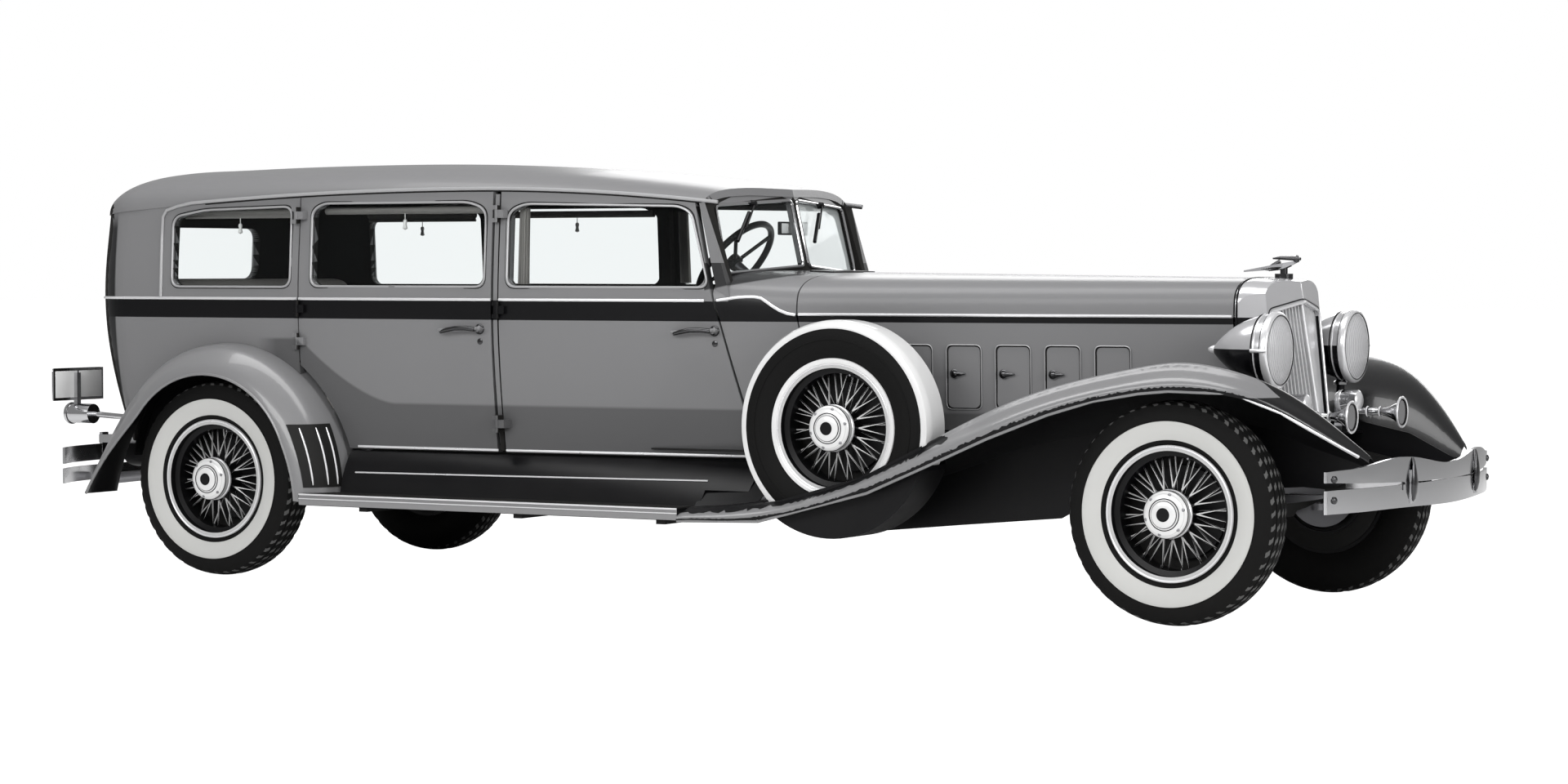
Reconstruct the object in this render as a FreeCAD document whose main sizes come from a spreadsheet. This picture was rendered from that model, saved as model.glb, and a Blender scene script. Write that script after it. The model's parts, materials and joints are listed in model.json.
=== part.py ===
import FreeCAD, Part
import math
import os

Vector = FreeCAD.Vector
Rotation = FreeCAD.Rotation

# Driving sizes in millimetres. X points forward, Y to the car's left, Z up, and Z is 0 on the ground.
SIZES = {
    # Whole car
    "overall_length": 6030,
    "rear_axle_x": -2045,
    "wheelbase": 4307,
    "track": 1520,
    # Wheels and tyres
    "tyre_radius": 405,
    "tyre_width": 178,
    "rim_radius": 246,
    "rim_width": 144,
    "bead_seat_radius": 232,
    "bead_fit": 0.3,
    "spindle_radius": 20,
    "spindle_fit": 0.05,
    "hub_radius": 62,
    "hub_cap_radius": 84,
    "hub_cap_reach": 122,
    "hub_inboard": 91,
    "spoke_size": 5,
    "spoke_pairs": 16,
    # Chassis frame
    "rail_inner_y": 372,
    "rail_width": 52,
    "rail_top": 545,
    "rail_bottom": 405,
    "rail_end_front": 2770,
    "rail_end_rear": -2800,
    "front_kick_top": 600,
    "front_kick_bottom": 500,
    "rear_kick_top": 692,
    "rear_kick_bottom": 602,
    "member_depth": 30,
    "member_width": 70,
    "seat_fit": 0.3,
    # Axles, springs and steering
    "kingpin_y": 625,
    "kingpin_radius": 12,
    "pivot_fit": 0.05,
    "axle_eye_radius": 26,
    "axle_tube_radius": 42,
    "torque_tube_radius": 32,
    "front_spring_y": 398,
    "front_spring_half_length": 450,
    "front_spring_eye_z": 460,
    "rear_spring_y": 460,
    "rear_spring_half_length": 620,
    "spring_width": 54,
    "spring_pack": 42,
    "steering_arm_length": 150,
    "tie_rod_radius": 14,
    "tie_rod_z": 345,
    # Body walls
    "body_half_width": 727,
    "widest_x": -1690,
    "narrowing": 38.4,
    "sill_tuck": 55,
    "tumblehome": 25,
    "belt_z": 1130,
    "wall": 40,
    "roof_wall": 30,
    "sill_z": 540,
    "back_x": -2825,
    "back_corner_radius": 215,
    "roof_top": 1715,
    "roof_crest_x": -1400,
    "drip_z": 1592,
    "drip_crest_x": -860,
    "roof_start": 1485,
    "roof_back_x": -2812,
    "visor_reach": 4,
    "floor_top": 566,
    "floor_step_x": -1331,
    "floor_thickness": 20.7,
    # Doors
    "panel_gap": 6,
    "latch_gap": 9,
    "rear_door_back": -1680,
    "rear_door_front": -745,
    "front_door_back": -711,
    "front_door_front": 365,
    "hinge_stand": 13,
    "hinge_radius": 7,
    "hinge_pin": 4,
    "arch_radius": 592,
    # Windows
    "window_low": 1208,
    "window_corner": 40,
    "glass": 6,
    "glass_fit": 0.3,
    # Cowl, windshield and hood
    "cowl_front": 569,
    "hood_back": 575,
    "hood_front": 2276,
    "hood_top_back": 1260,
    "hood_top_front": 1241,
    "hood_shoulder": 1100,
    "hood_half_back": 535,
    "hood_half_front": 283,
    "hood_low": 664,
    "hood_seam_low_x": 650,
    "hood_tuck": 14,
    "hood_skin": 6,
    "hinge_rod": 3.5,
    "hinge_fit": 0.3,
    "vent_width": 126,
    "vent_pitch": 193,
    "vent_first_x": 987,
    "vent_low": 750,
    "vent_high": 983,
    "shield_centre_top_x": 253,
    "shield_centre_low_x": 320,
    "shield_side_top_x": 190,
    "shield_side_low_x": 243,
    "shield_side_y": 560,
    "shield_low": 1268,
    "shield_high": 1560,
    "shield_post_y": 596,
    # Radiator shell and lamps
    "shell_back": 2284,
    "shell_corner_x": 2390,
    "shell_corner_y": 265,
    "shell_back_y": 285,
    "shell_ridge_top_x": 2428,
    "shell_rake": 95,
    "shell_low": 658.3,
    "shell_top": 1241,
    "shell_wall": 12,
    "cap_x": 2362,
    "grille_bars": 23,
    "grille_bar_width": 10,
    "lamp_x": 2499,
    "lamp_y": 390,
    "lamp_z": 982,
    "lamp_radius": 133,
    "lamp_length": 262,
    "horn_x": 2731,
    "horn_y": 264,
    "horn_z": 739,
    "horn_radius": 56,
    # Fenders, running boards and spare wheels
    "fender_skin": 6,
    "fender_outer_y": 900,
    "fender_crown_y": 800,
    "fender_inner_y": 449,
    "rear_fender_inner_y": 610,
    "board_top": 360,
    "board_depth": 46,
    "board_inner_y": 752,
    "spare_x": 885,
    "spare_y": 740,
    "spare_z": 680,
    "well_gap": 4,
    # Bumpers
    "bumper_half_width": 850,
    "bumper_bow": 150,
    "bar_thickness": 12,
}

doc = FreeCAD.newDocument("hearse")
sheet = doc.addObject("Spreadsheet::Sheet", "Sizes")
for row, (alias, value) in enumerate(SIZES.items(), 1):
    sheet.set(f"A{row}", alias.replace("_", " "))
    sheet.set(f"B{row}", str(value))
    sheet.setAlias(f"B{row}", alias)
doc.recompute()


class Sheet:
    """Reads a size from the sheet by its alias."""

    def __getattr__(self, alias):
        return float(sheet.get(alias))


size = Sheet()
NODES = []

front_axle_x = size.rear_axle_x + size.wheelbase
wheel_y = size.track / 2
axle_z = size.tyre_radius


# Document helpers

def bind(obj, **cells):
    """Ties properties of an object to cells of the sheet; a double underscore stands for a point."""
    for prop, expression in cells.items():
        obj.setExpression(prop.replace("__", "."), expression)
    return obj


def node(name, obj):
    """Names a finished sub-part and lists it for export."""
    obj.Label = name
    NODES.append(obj)
    return obj


def solid(name, shape):
    """A sub-part whose shape is worked out from the sheet."""
    obj = doc.addObject("Part::Feature", name)
    obj.Shape = shape
    return node(name, obj)


def plane_of(body, role):
    return next(f for f in body.Origin.OriginFeatures if f.Role == role)


def sketch_on(body, role, name, edges):
    """A sketch on one of a body's origin planes, holding the given lines and arcs."""
    sketch = body.newObject("Sketcher::SketchObject", name)
    sketch.AttachmentSupport = [(plane_of(body, role), "")]
    sketch.MapMode = "FlatFace"
    for edge in edges:
        sketch.addGeometry(edge, False)
    return sketch


def flat_edges(points):
    """Closed straight outline in a sketch's own plane."""
    corners = [Vector(a, b, 0) for a, b in points]
    return [Part.LineSegment(p, q) for p, q in zip(corners, corners[1:] + corners[:1])]


def padded(name, role, points, length, middle=True, reverse=False):
    """A body made by padding one outline; the length is an expression on the sheet."""
    body = doc.addObject("PartDesign::Body", name)
    sketch = sketch_on(body, role, name + "_outline", flat_edges(points))
    pad = body.newObject("PartDesign::Pad", name + "_pad")
    pad.Profile = sketch
    pad.Midplane = middle
    pad.Reversed = reverse
    bind(pad, Length=length)
    body.Tip = pad
    return body


def turned(name, edges, role="XY_Plane", axis="H_Axis"):
    """A body made by revolving one outline of lines and arcs about a sketch axis."""
    body = doc.addObject("PartDesign::Body", name)
    sketch = sketch_on(body, role, name + "_outline", edges)
    turn = body.newObject("PartDesign::Revolution", name + "_turn")
    turn.Profile = sketch
    turn.ReferenceAxis = (sketch, [axis])
    turn.Angle = 360
    body.Tip = turn
    return body


# Shape helpers

def spline(points):
    """A smooth edge through points, with evenly spaced parameters so that sections loft cleanly."""
    curve = Part.BSplineCurve()
    last = len(points) - 1
    curve.interpolate(Points=[Vector(*p) for p in points], Parameters=[i / last for i in range(last + 1)])
    return curve.toShape()


def line(a, b):
    return Part.makeLine(Vector(*a), Vector(*b))


def band(outer, inner):
    """Closed section of a skin, between an outer and an inner curve."""
    back = list(reversed(inner))
    return Part.Wire([spline(outer), line(outer[-1], back[0]), spline(back), line(back[-1], outer[0])])


def skin(outer_rows, inner_rows):
    """Solid skin lofted through sections that each hold an outer and an inner curve."""
    return Part.makeLoft([band(o, i) for o, i in zip(outer_rows, inner_rows)], True, False)


def polygon(points):
    corners = [Vector(*p) for p in points]
    return Part.makePolygon(corners + corners[:1])


def block(x0, x1, y0, y1, z0, z1):
    return Part.makeBox(x1 - x0, y1 - y0, z1 - z0, Vector(x0, y0, z0))


def side_prism(points, y0, y1, skew=0.0):
    """Outline in X and Z carried along Y; skew shifts it in X as it goes."""
    face = Part.Face(polygon([(x, y0, z) for x, z in points]))
    return face.extrude(Vector(skew * (y1 - y0), y1 - y0, 0))


def plan_prism(points, z0, z1):
    face = Part.Face(polygon([(x, y, z0) for x, y in points]))
    return face.extrude(Vector(0, 0, z1 - z0))


def rounded(points, radius, closed=True):
    """Wire along points with its corners rounded by tangent arcs."""
    corners = [Vector(*p) for p in points]
    count = len(corners)
    trims = {}
    for i in range(0 if closed else 1, count if closed else count - 1):
        here = corners[i]
        to_last = (corners[i - 1] - here).normalize()
        to_next = (corners[(i + 1) % count] - here).normalize()
        half = to_last.getAngle(to_next) / 2
        reach = radius / math.tan(half)
        middle = here + (to_last + to_next).normalize() * (radius / math.sin(half) - radius)
        trims[i] = (here + to_last * reach, middle, here + to_next * reach)
    edges = []
    for i in range(count if closed else count - 1):
        j = (i + 1) % count
        start = trims[i][2] if i in trims else corners[i]
        end = trims[j][0] if j in trims else corners[j]
        if start.distanceToPoint(end) > 0.01:
            edges.append(Part.makeLine(start, end))
        if j in trims:
            edges.append(Part.Arc(*trims[j]).toShape())
    return Part.Wire(Part.__sortEdges__(edges))


def tube(points, radius, bend):
    """Round bar along straight runs joined by tangent arcs."""
    path = rounded(points, bend, False)
    start = Vector(*points[0])
    along = Vector(*points[1]) - start
    ring = Part.Wire([Part.makeCircle(radius, start, along)])
    return path.makePipeShell([ring], True, True)


def rod(a, b, radius):
    start = Vector(*a)
    along = Vector(*b) - start
    return Part.makeCylinder(radius, along.Length, start, along)


def ball(centre, radius):
    return Part.makeSphere(radius, Vector(*centre))


def fused(shapes):
    return shapes[0].multiFuse(shapes[1:]).removeSplitter()


def mirrored(shape):
    """The same piece on the car's other side."""
    return shape.mirror(Vector(0, 0, 0), Vector(0, 1, 0))


def both_sides(shape):
    return Part.makeCompound([shape, mirrored(shape)])


def along(x, stations):
    """Value at x on a chain of smooth steps through (x, value) stations."""
    if x <= stations[0][0]:
        return stations[0][1]
    for (x0, a), (x1, b) in zip(stations, stations[1:]):
        if x <= x1:
            return a + (b - a) * (x - x0) / (x1 - x0)
    return stations[-1][1]


def spaced(first, last, count):
    return [first + (last - first) * i / (count - 1) for i in range(count)]


# Body form

def side_tuck(z):
    """How far the side wall lies inside its widest line at height z."""
    if z < size.belt_z:
        return size.sill_tuck * ((size.belt_z - z) / (size.belt_z - size.sill_z)) ** 1.6
    return size.tumblehome * ((z - size.belt_z) / (size.drip_z - size.belt_z)) ** 1.3


def side_y(x, z):
    """Half width of the body's outer face."""
    ahead = max(x - size.widest_x, 0.0) / 1000
    return size.body_half_width - size.narrowing * ahead ** 1.75 - side_tuck(z)


def back_face_x(z):
    """Where the back panel stands at height z."""
    if z < size.belt_z:
        return size.back_x + 105 * ((size.belt_z - z) / (size.belt_z - size.sill_z)) ** 1.6
    return size.back_x + 22 * ((z - size.belt_z) / (size.drip_z - size.belt_z)) ** 1.5


def drip_line(x):
    """Lower edge of the roof, a shallow arch in side view."""
    if x > size.drip_crest_x:
        return size.drip_z - 50e-6 * (x - size.drip_crest_x) ** 2
    return size.drip_z - 24e-6 * (x - size.drip_crest_x) ** 2


def under_roof(drop):
    """Space below the roof's lower edge, as a wide prism, lowered by the gap."""
    xs = spaced(-3000, 700, 13)
    edge = spline([(x, -1000, drip_line(x) - drop) for x in xs])
    low = 300
    wire = Part.Wire([
        edge,
        line((xs[-1], -1000, drip_line(xs[-1]) - drop), (xs[-1], -1000, low)),
        line((xs[-1], -1000, low), (xs[0], -1000, low)),
        line((xs[0], -1000, low), (xs[0], -1000, drip_line(xs[0]) - drop)),
    ])
    return Part.Face(wire).extrude(Vector(0, 2000, 0))


# Wheels

def rim_outline():
    half = size.rim_width / 2
    seat = size.bead_seat_radius - size.bead_fit
    inner = seat - 6
    lip = 6
    points = [
        (-half, size.rim_radius), (-half + lip, size.rim_radius), (-half + lip, seat), (-40, seat),
        (-34, seat - 20), (34, seat - 20), (40, seat), (half - lip, seat), (half - lip, size.rim_radius),
        (half, size.rim_radius), (half, inner), (44, inner), (38, inner - 20), (-38, inner - 20),
        (-44, inner), (-half, inner),
    ]
    return flat_edges(points)


def hub_outline():
    """Hub barrel with its bore, brake drum on the inboard side and the dished cap outboard."""
    bore = size.spindle_radius + size.spindle_fit
    hub = size.hub_radius
    cap = size.hub_cap_radius
    reach = size.hub_cap_reach
    inboard = size.hub_inboard
    points = [
        (-inboard, bore), (52, bore), (52, 0), (reach, 0), (reach, cap * 0.5), (reach - 8, cap * 0.62),
        (reach - 10, cap * 0.9), (reach - 24, cap), (62, cap), (58, hub), (-44, hub), (-50, 168),
        (-inboard, 168), (-inboard, 158), (-60, 150), (-60, 40), (-inboard, 40),
    ]
    return flat_edges(points)


def tyre_outline():
    half = size.tyre_width / 2
    foot = size.rim_width / 2 - 6 - size.bead_fit
    seat = size.bead_seat_radius
    top = size.tyre_radius
    shoulder = top - 12
    middle = (seat + top) / 2
    lip = size.rim_radius + 1
    a, b = Vector(-foot, seat, 0), Vector(foot, seat, 0)
    c, d = Vector(foot, lip, 0), Vector(half - 22, shoulder, 0)
    e, f = Vector(-half + 22, shoulder, 0), Vector(-foot, lip, 0)
    return [
        Part.LineSegment(a, b),
        Part.LineSegment(b, c),
        Part.Arc(c, Vector(half, middle, 0), d),
        Part.Arc(d, Vector(0, top, 0), e),
        Part.Arc(e, Vector(-half, middle, 0), f),
        Part.LineSegment(f, a),
    ]


def spoke(hub_angle, rim_angle, hub_radius, rim_radius, hub_y, rim_y):
    """One square wire from the hub to the rim."""
    a = Vector(math.cos(hub_angle) * hub_radius, hub_y, math.sin(hub_angle) * hub_radius)
    b = Vector(math.cos(rim_angle) * rim_radius, rim_y, math.sin(rim_angle) * rim_radius)
    run = b - a
    half = size.spoke_size / 2
    wire = Part.makeBox(size.spoke_size, size.spoke_size, run.Length, Vector(-half, -half, 0))
    wire.Placement = FreeCAD.Placement(a, Rotation(Vector(0, 0, 1), run))
    return wire


def spokes():
    """Crossed pairs outboard and single wires inboard."""
    pairs = int(size.spoke_pairs)
    lean = math.radians(7.5)
    hub = size.hub_radius - 4
    rim = size.bead_seat_radius - 23
    wires = []
    for i in range(pairs):
        angle = 2 * math.pi * i / pairs
        wires.append(spoke(angle - lean, angle + lean, hub, rim, 44, 6))
        wires.append(spoke(angle + lean, angle - lean, hub, rim, 44, 6))
        between = angle + math.pi / pairs
        wires.append(spoke(between, between + lean, hub, rim, -30, -14))
    return wires


def wheel_shapes():
    """The wire wheel and its tyre about the Y axis, with the cap towards +Y."""
    rim = turned("wheel_rim", rim_outline(), "XY_Plane", "H_Axis")
    hub = turned("wheel_hub", hub_outline(), "XY_Plane", "H_Axis")
    tyre = turned("tyre_form", tyre_outline(), "XY_Plane", "H_Axis")
    doc.recompute()
    stand = Rotation(Vector(0, 0, 1), 90)
    metal = rim.Shape.copy()
    metal.Placement = FreeCAD.Placement(Vector(0, 0, 0), stand)
    centre = hub.Shape.copy()
    centre.Placement = FreeCAD.Placement(Vector(0, 0, 0), stand)
    rubber = tyre.Shape.copy()
    rubber.Placement = FreeCAD.Placement(Vector(0, 0, 0), stand)
    wheel = metal.multiFuse([centre] + spokes())
    return wheel, rubber


def placed(shape, x, y, z):
    """A copy of a wheel or tyre at its station, turned to face outboard."""
    copy = shape.copy()
    turn = 0 if y > 0 else 180
    copy.Placement = FreeCAD.Placement(
        Vector(x, y, z), Rotation(Vector(0, 0, 1), turn)
    ).multiply(shape.Placement)
    return copy


def build_wheels():
    wheel, rubber = wheel_shapes()
    stations = {
        "front_left": (front_axle_x, wheel_y),
        "front_right": (front_axle_x, -wheel_y),
        "rear_left": (size.rear_axle_x, wheel_y),
        "rear_right": (size.rear_axle_x, -wheel_y),
    }
    for name, (x, y) in stations.items():
        solid("wheel_" + name, placed(wheel, x, y, axle_z))
        solid("tyre_" + name, placed(rubber, x, y, axle_z))
    spare = (size.spare_x, size.spare_y, size.spare_z)
    solid(
        "spare_wheels",
        Part.makeCompound([placed(wheel, *spare), placed(wheel, spare[0], -spare[1], spare[2])])
    )
    solid(
        "spare_tyres",
        Part.makeCompound([placed(rubber, *spare), placed(rubber, spare[0], -spare[1], spare[2])])
    )


# Chassis

def build_frame():
    """Two side rails with kick-ups over the axles, joined by cross members."""
    y0, y1 = size.rail_inner_y, size.rail_inner_y + size.rail_width
    top = [
        (size.rail_end_rear, 560), (-2450, size.rear_kick_top), (-1700, size.rear_kick_top),
        (-1350, size.rail_top), (1500, size.rail_top), (1900, size.front_kick_top),
        (2450, size.front_kick_top), (size.rail_end_front, 530),
    ]
    low = [
        (size.rail_end_front, 480), (2450, size.front_kick_bottom), (1900, size.front_kick_bottom),
        (1500, size.rail_bottom), (-1350, size.rail_bottom), (-1700, size.rear_kick_bottom),
        (-2450, size.rear_kick_bottom), (size.rail_end_rear, 500),
    ]
    rail = side_prism(top + low, y0, y1)
    depth, half = size.member_depth, size.member_width / 2
    members = []
    for x, z in ((0, size.rail_top), (-1000, size.rail_top), (-1800, size.rear_kick_top), (-2600, 630)):
        members.append(block(x - half, x + half, -y0 - 1, y0 + 1, z - depth, z))
    members.append(block(670, 740, -y0 - 1, y0 + 1, 440, 499.7))
    members.append(block(1830, 1890, -y0 - 1, y0 + 1, 520, 560.7))
    members.append(block(2300, 2360, -y0 - 1, y0 + 1, 540, size.front_kick_top))
    members.append(rod((2740, -y0 - 1, 505), (2740, y0 + 1, 505), 18))
    pad = size.spare_x
    hub_face = size.spare_y - size.hub_inboard
    arms = []
    for side in (1, -1):
        arms.append(block(pad - 25, pad + 25, min(side * (y1 - 1), side * (hub_face - 14)),
                          max(side * (y1 - 1), side * (hub_face - 14)), 470, 500))
        arms.append(block(pad - 25, pad + 25, min(side * (hub_face - 44), side * (hub_face - 14)),
                          max(side * (hub_face - 44), side * (hub_face - 14)), 470, size.spare_z + 25))
        arms.append(rod((pad, side * (hub_face - 30), size.spare_z),
                        (pad, side * (size.spare_y + 40), size.spare_z),
                        size.spindle_radius))
    seat = size.seat_fit
    brackets = []
    for x in (front_axle_x - size.front_spring_half_length, front_axle_x + size.front_spring_half_length):
        brackets.append(block(x - 20, x + 20, y0, y1, size.front_spring_eye_z + 15 + seat,
                              size.front_kick_bottom + 10))
    side = size.rear_spring_y - size.spring_width / 2 - seat
    for x in (
        size.rear_axle_x - size.rear_spring_half_length, size.rear_axle_x + size.rear_spring_half_length
    ):
        brackets.append(block(x - 18, x + 18, y1 - 1, side, 536, 572))
    low = size.board_top - size.board_depth - seat
    for x in (-1250, -500, 160):
        brackets.append(block(x - 20, x + 20, y1 - 20, 870, low - 18, low))
        brackets.append(block(x - 20, x + 20, y1 - 20, y1, low - 18, size.rail_bottom + 1))
    brackets += [mirrored(b) for b in brackets]
    solid("chassis_frame", fused([rail, mirrored(rail)] + members + arms + brackets))


def leaf_spring(x, y, half_length, centre_top, end_rise):
    """Arched leaf pack, thick at the axle and rolled into an eye at each end."""
    half = size.spring_width / 2
    pack = size.spring_pack
    arc_top = Part.Arc(Vector(x - half_length, y - half, centre_top + end_rise + 8),
                       Vector(x, y - half, centre_top), Vector(
                           x + half_length, y - half, centre_top + end_rise + 8
                       ))
    arc_low = Part.Arc(Vector(x + half_length, y - half, centre_top + end_rise),
                       Vector(x, y - half, centre_top - pack), Vector(
                           x - half_length, y - half, centre_top + end_rise
                       ))
    ends = [
        line(
            (x + half_length, y - half, centre_top + end_rise + 8),
            (x + half_length, y - half, centre_top + end_rise)
        ),
        line(
            (x - half_length, y - half, centre_top + end_rise),
            (x - half_length, y - half, centre_top + end_rise + 8)
        ),
    ]
    wire = Part.Wire(Part.__sortEdges__([arc_top.toShape(), arc_low.toShape()] + ends))
    leaf = Part.Face(wire).extrude(Vector(0, 2 * half, 0))
    eyes = [rod((x + s * half_length, y - half, centre_top + end_rise + 4),
                (x + s * half_length, y + half, centre_top + end_rise + 4), 15) for s in (-1, 1)]
    return fused([leaf] + eyes)


def build_springs():
    front = leaf_spring(front_axle_x, size.front_spring_y, size.front_spring_half_length, 452, 4)
    rear = leaf_spring(size.rear_axle_x, size.rear_spring_y, size.rear_spring_half_length, 490, 60)
    solid("leaf_springs", Part.makeCompound([front, mirrored(front), rear, mirrored(rear)]))


def build_axles():
    king = size.kingpin_y
    beam_top, beam_low = 409.7, 355
    beam = Part.Face(polygon([
        (
            front_axle_x, -king + 20, 378
        ), (front_axle_x, -430, 355), (front_axle_x, -340, 350), (front_axle_x, -300, 330),
        (front_axle_x, 300, 330), (front_axle_x, 340, 350), (front_axle_x, 430, 355),
        (front_axle_x, king - 20, 378),
        (front_axle_x, king - 20, 432), (front_axle_x, 440, beam_top), (front_axle_x, 350, beam_top),
        (front_axle_x, 300, 385), (front_axle_x, -300, 385), (front_axle_x, -350, beam_top),
        (front_axle_x, -440, beam_top), (front_axle_x, -king + 20, 432),
    ])).extrude(Vector(50, 0, 0))
    beam.translate(Vector(-25, 0, 0))
    eyes = [rod((front_axle_x, s * king, 365), (front_axle_x, s * king, 445),
                size.axle_eye_radius) for s in (-1, 1)]
    bores = [rod((front_axle_x, s * king, 300), (front_axle_x, s * king, 500),
                 size.kingpin_radius + size.pivot_fit) for s in (-1, 1)]
    solid("front_axle", fused([beam] + eyes).cut(bores))

    rear_x = size.rear_axle_x
    spindle_end = wheel_y + 51.5
    housing = [
        rod((rear_x, -wheel_y + 100, axle_z), (rear_x, wheel_y - 100, axle_z), size.axle_tube_radius),
        ball((rear_x, 0, axle_z), 130),
        rod((rear_x, -spindle_end, axle_z), (rear_x, spindle_end, axle_z), size.spindle_radius),
        rod((rear_x, 0, axle_z), (599.7, 0, 500), size.torque_tube_radius),
    ]
    for s in (-1, 1):
        plate = rod((rear_x, s * (wheel_y - 108), axle_z), (rear_x, s * (wheel_y - 98), axle_z), 150)
        seat = block(rear_x - 45, rear_x + 45, min(s * 430, s * 490), max(s * 430, s * 490), axle_z, 447.7)
        housing += [plate, seat]
    solid("rear_axle", fused(housing))


def knuckle(side):
    """Yoke over the axle eye with its kingpin, spindle, backing plate and steering arm."""
    king = size.kingpin_y
    x, arm = front_axle_x, size.steering_arm_length
    pin = rod((x, side * king, 335), (x, side * king, 475), size.kingpin_radius)
    upper = rod((x, side * king, 450), (x, side * king, 470), 28)
    lower = rod((x, side * king, 335), (x, side * king, 360), 28)
    inner, outer = king, wheel_y - 98
    link_low = block(
        x - 28, x + 28, min(side * inner, side * (outer - 1)), max(side * inner, side * (outer - 1)), 335,
        360
    )
    link_up = block(
        x - 28, x + 28, min(side * inner, side * (outer - 1)), max(side * inner, side * (outer - 1)), 450,
        470
    )
    plate = rod((x, side * (wheel_y - 104), axle_z), (x, side * (wheel_y - 97), axle_z), 140)
    spindle = rod(
        (x, side * (wheel_y - 100), axle_z), (x, side * (wheel_y + 51.5), axle_z), size.spindle_radius
    )
    steer = block(x - arm, x, side * king - 12, side * king + 12, 335, 357)
    eye = rod((x - arm, side * king, 335), (x - arm, side * king, 357), 20)
    return fused([pin, upper, lower, link_low, link_up, plate, spindle, steer, eye])


def build_steering():
    solid("knuckle_left", knuckle(1))
    solid("knuckle_right", knuckle(-1))
    x = front_axle_x - size.steering_arm_length
    king = size.kingpin_y
    eye_top = 334.7
    bar = rod((x, -king, eye_top - 16), (x, king, eye_top - 16), size.tie_rod_radius)
    ends = [rod((x, s * king, eye_top - 32), (x, s * king, eye_top), 20) for s in (-1, 1)]
    solid("tie_rod", fused([bar] + ends))


def build_drive():
    engine = padded("engine_block", "XZ_Plane", [
        (600, 500), (960, 500), (960, 470), (1790, 470), (1790, 561), (1900, 561), (1900, 990),
        (1020, 990), (1020, 820), (860, 700), (600, 660),
    ], "2 * 165")
    node("engine_block", engine)
    tank = doc.addObject("Part::Box", "fuel_tank_block")
    bind(tank, Length="380", Width="700", Height="190")
    tank.Placement.Base = Vector(-2930, -350, 409.7)
    smooth = doc.addObject("Part::Fillet", "fuel_tank")
    smooth.Base = tank
    smooth.Edges = [(i, 45, 45) for i in (2, 4, 6, 8, 9, 10, 11, 12)]
    node("fuel_tank", smooth)
    y = -265
    pipe = tube([(1400, -190, 620), (1200, y, 500), (1000, y, 385), (-1400, y, 360), (-1620, y, 520),
                 (-2400, y, 520), (-2560, -395, 400), (-2930, -395, 360)], 24, 60)
    silencer = rod((-200, y, 372), (-900, y, 366), 75)
    flange = block(1375, 1425, -215, -165 - size.seat_fit, 590, 650)
    solid("exhaust", fused([pipe, silencer, flange]))


# Body

def build_floor():
    """Floor boards with sills, stepped up over the rear axle, and the toe board in front."""
    top, thick = size.floor_top, size.floor_thickness
    low = top - thick
    raised = 712
    inset = size.wall + size.panel_gap
    step = size.floor_step_x
    xs = spaced(step, 430, 9)
    left = [(x, side_y(x, size.sill_z) - inset) for x in xs]
    right = [(x, -y) for x, y in reversed(left)]
    flat = plan_prism(left + right, low, top)
    toe = side_prism([(430, low), (430, top), (542, 770), (554.3, 758), (452, low)], -480, 480)
    rise = block(step - 18, step, -600, 600, low, raised)
    rear_deck = plan_prism([
        (step - 1, -600), (step - 1, 600), (-2655, 600), (-2719, 470), (-2719, -470), (-2655, -600),
    ], raised - 18, raised)
    pillars = []
    for s in (-1, 1):
        post_x0, post_x1 = size.rear_door_front + size.latch_gap, size.front_door_back - size.panel_gap
        zs = spaced(low, 1575, 5)
        mid = (post_x0 + post_x1) / 2
        outer = [[(x, s * side_y(x, z), z) for z in zs] for x in (post_x0, post_x1)]
        inner = [[(x, s * (side_y(x, z) - inset - 4), z) for z in zs] for x in (post_x0, post_x1)]
        pillars.append(skin(outer, inner))
        outer = [[(x, s * (side_y(x, z) - inset), z) for z in zs] for x in (mid - 32, mid + 32)]
        inner = [[(x, s * (side_y(x, z) - inset - 34), z) for z in zs] for x in (mid - 32, mid + 32)]
        pillars.append(skin(outer, inner))
    posts = [p.common(under_roof(size.seat_fit)) for p in pillars]
    hinges = hinge_knuckles(size.front_door_back, FRONT_HINGES)
    solid("floor", fused([flat, toe, rise, rear_deck] + posts + hinges))


def hinge_knuckles(back, heights):
    """Fixed halves of a door's hinges on both sides, each with the pin that carries the door."""
    knuckles = []
    axis_y = side_y(back, size.belt_z) + size.hinge_stand
    for z in heights:
        for low, high in ((z - 34, z - 17), (z + 17, z + 34)):
            skin_y = side_y(back - 20, z)
            knuckles.append(rod((back, axis_y, low), (back, axis_y, high), size.hinge_radius))
            knuckles.append(block(back - 24, back, skin_y - 8, axis_y, low, high))
        knuckles.append(rod((back, axis_y, z - 34), (back, axis_y, z + 34), size.hinge_pin))
    return knuckles + [mirrored(k) for k in knuckles]


def rear_level(z, inset):
    """Plan line of the rear body at one height: side, corner, back, corner, side."""
    y = side_y(size.widest_x, z) - inset
    back = back_face_x(z) + inset
    radius = size.back_corner_radius - inset
    front = size.rear_door_back - size.panel_gap
    bend = math.sqrt(0.5)
    centre_x, centre_y = back + radius, y - radius
    left = Part.Arc(Vector(centre_x, y, z), Vector(centre_x - radius * bend, centre_y + radius * bend, z),
                    Vector(back, centre_y, z)).toShape()
    right = Part.Arc(Vector(back, -centre_y, z),
                     Vector(centre_x - radius * bend, -centre_y - radius * bend, z),
                     Vector(centre_x, -y, z)).toShape()
    return [
        line((front, y, z), (centre_x, y, z)), left, line((back, centre_y, z), (back, -centre_y, z)), right,
        line((centre_x, -y, z), (front, -y, z)),
    ]


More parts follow.
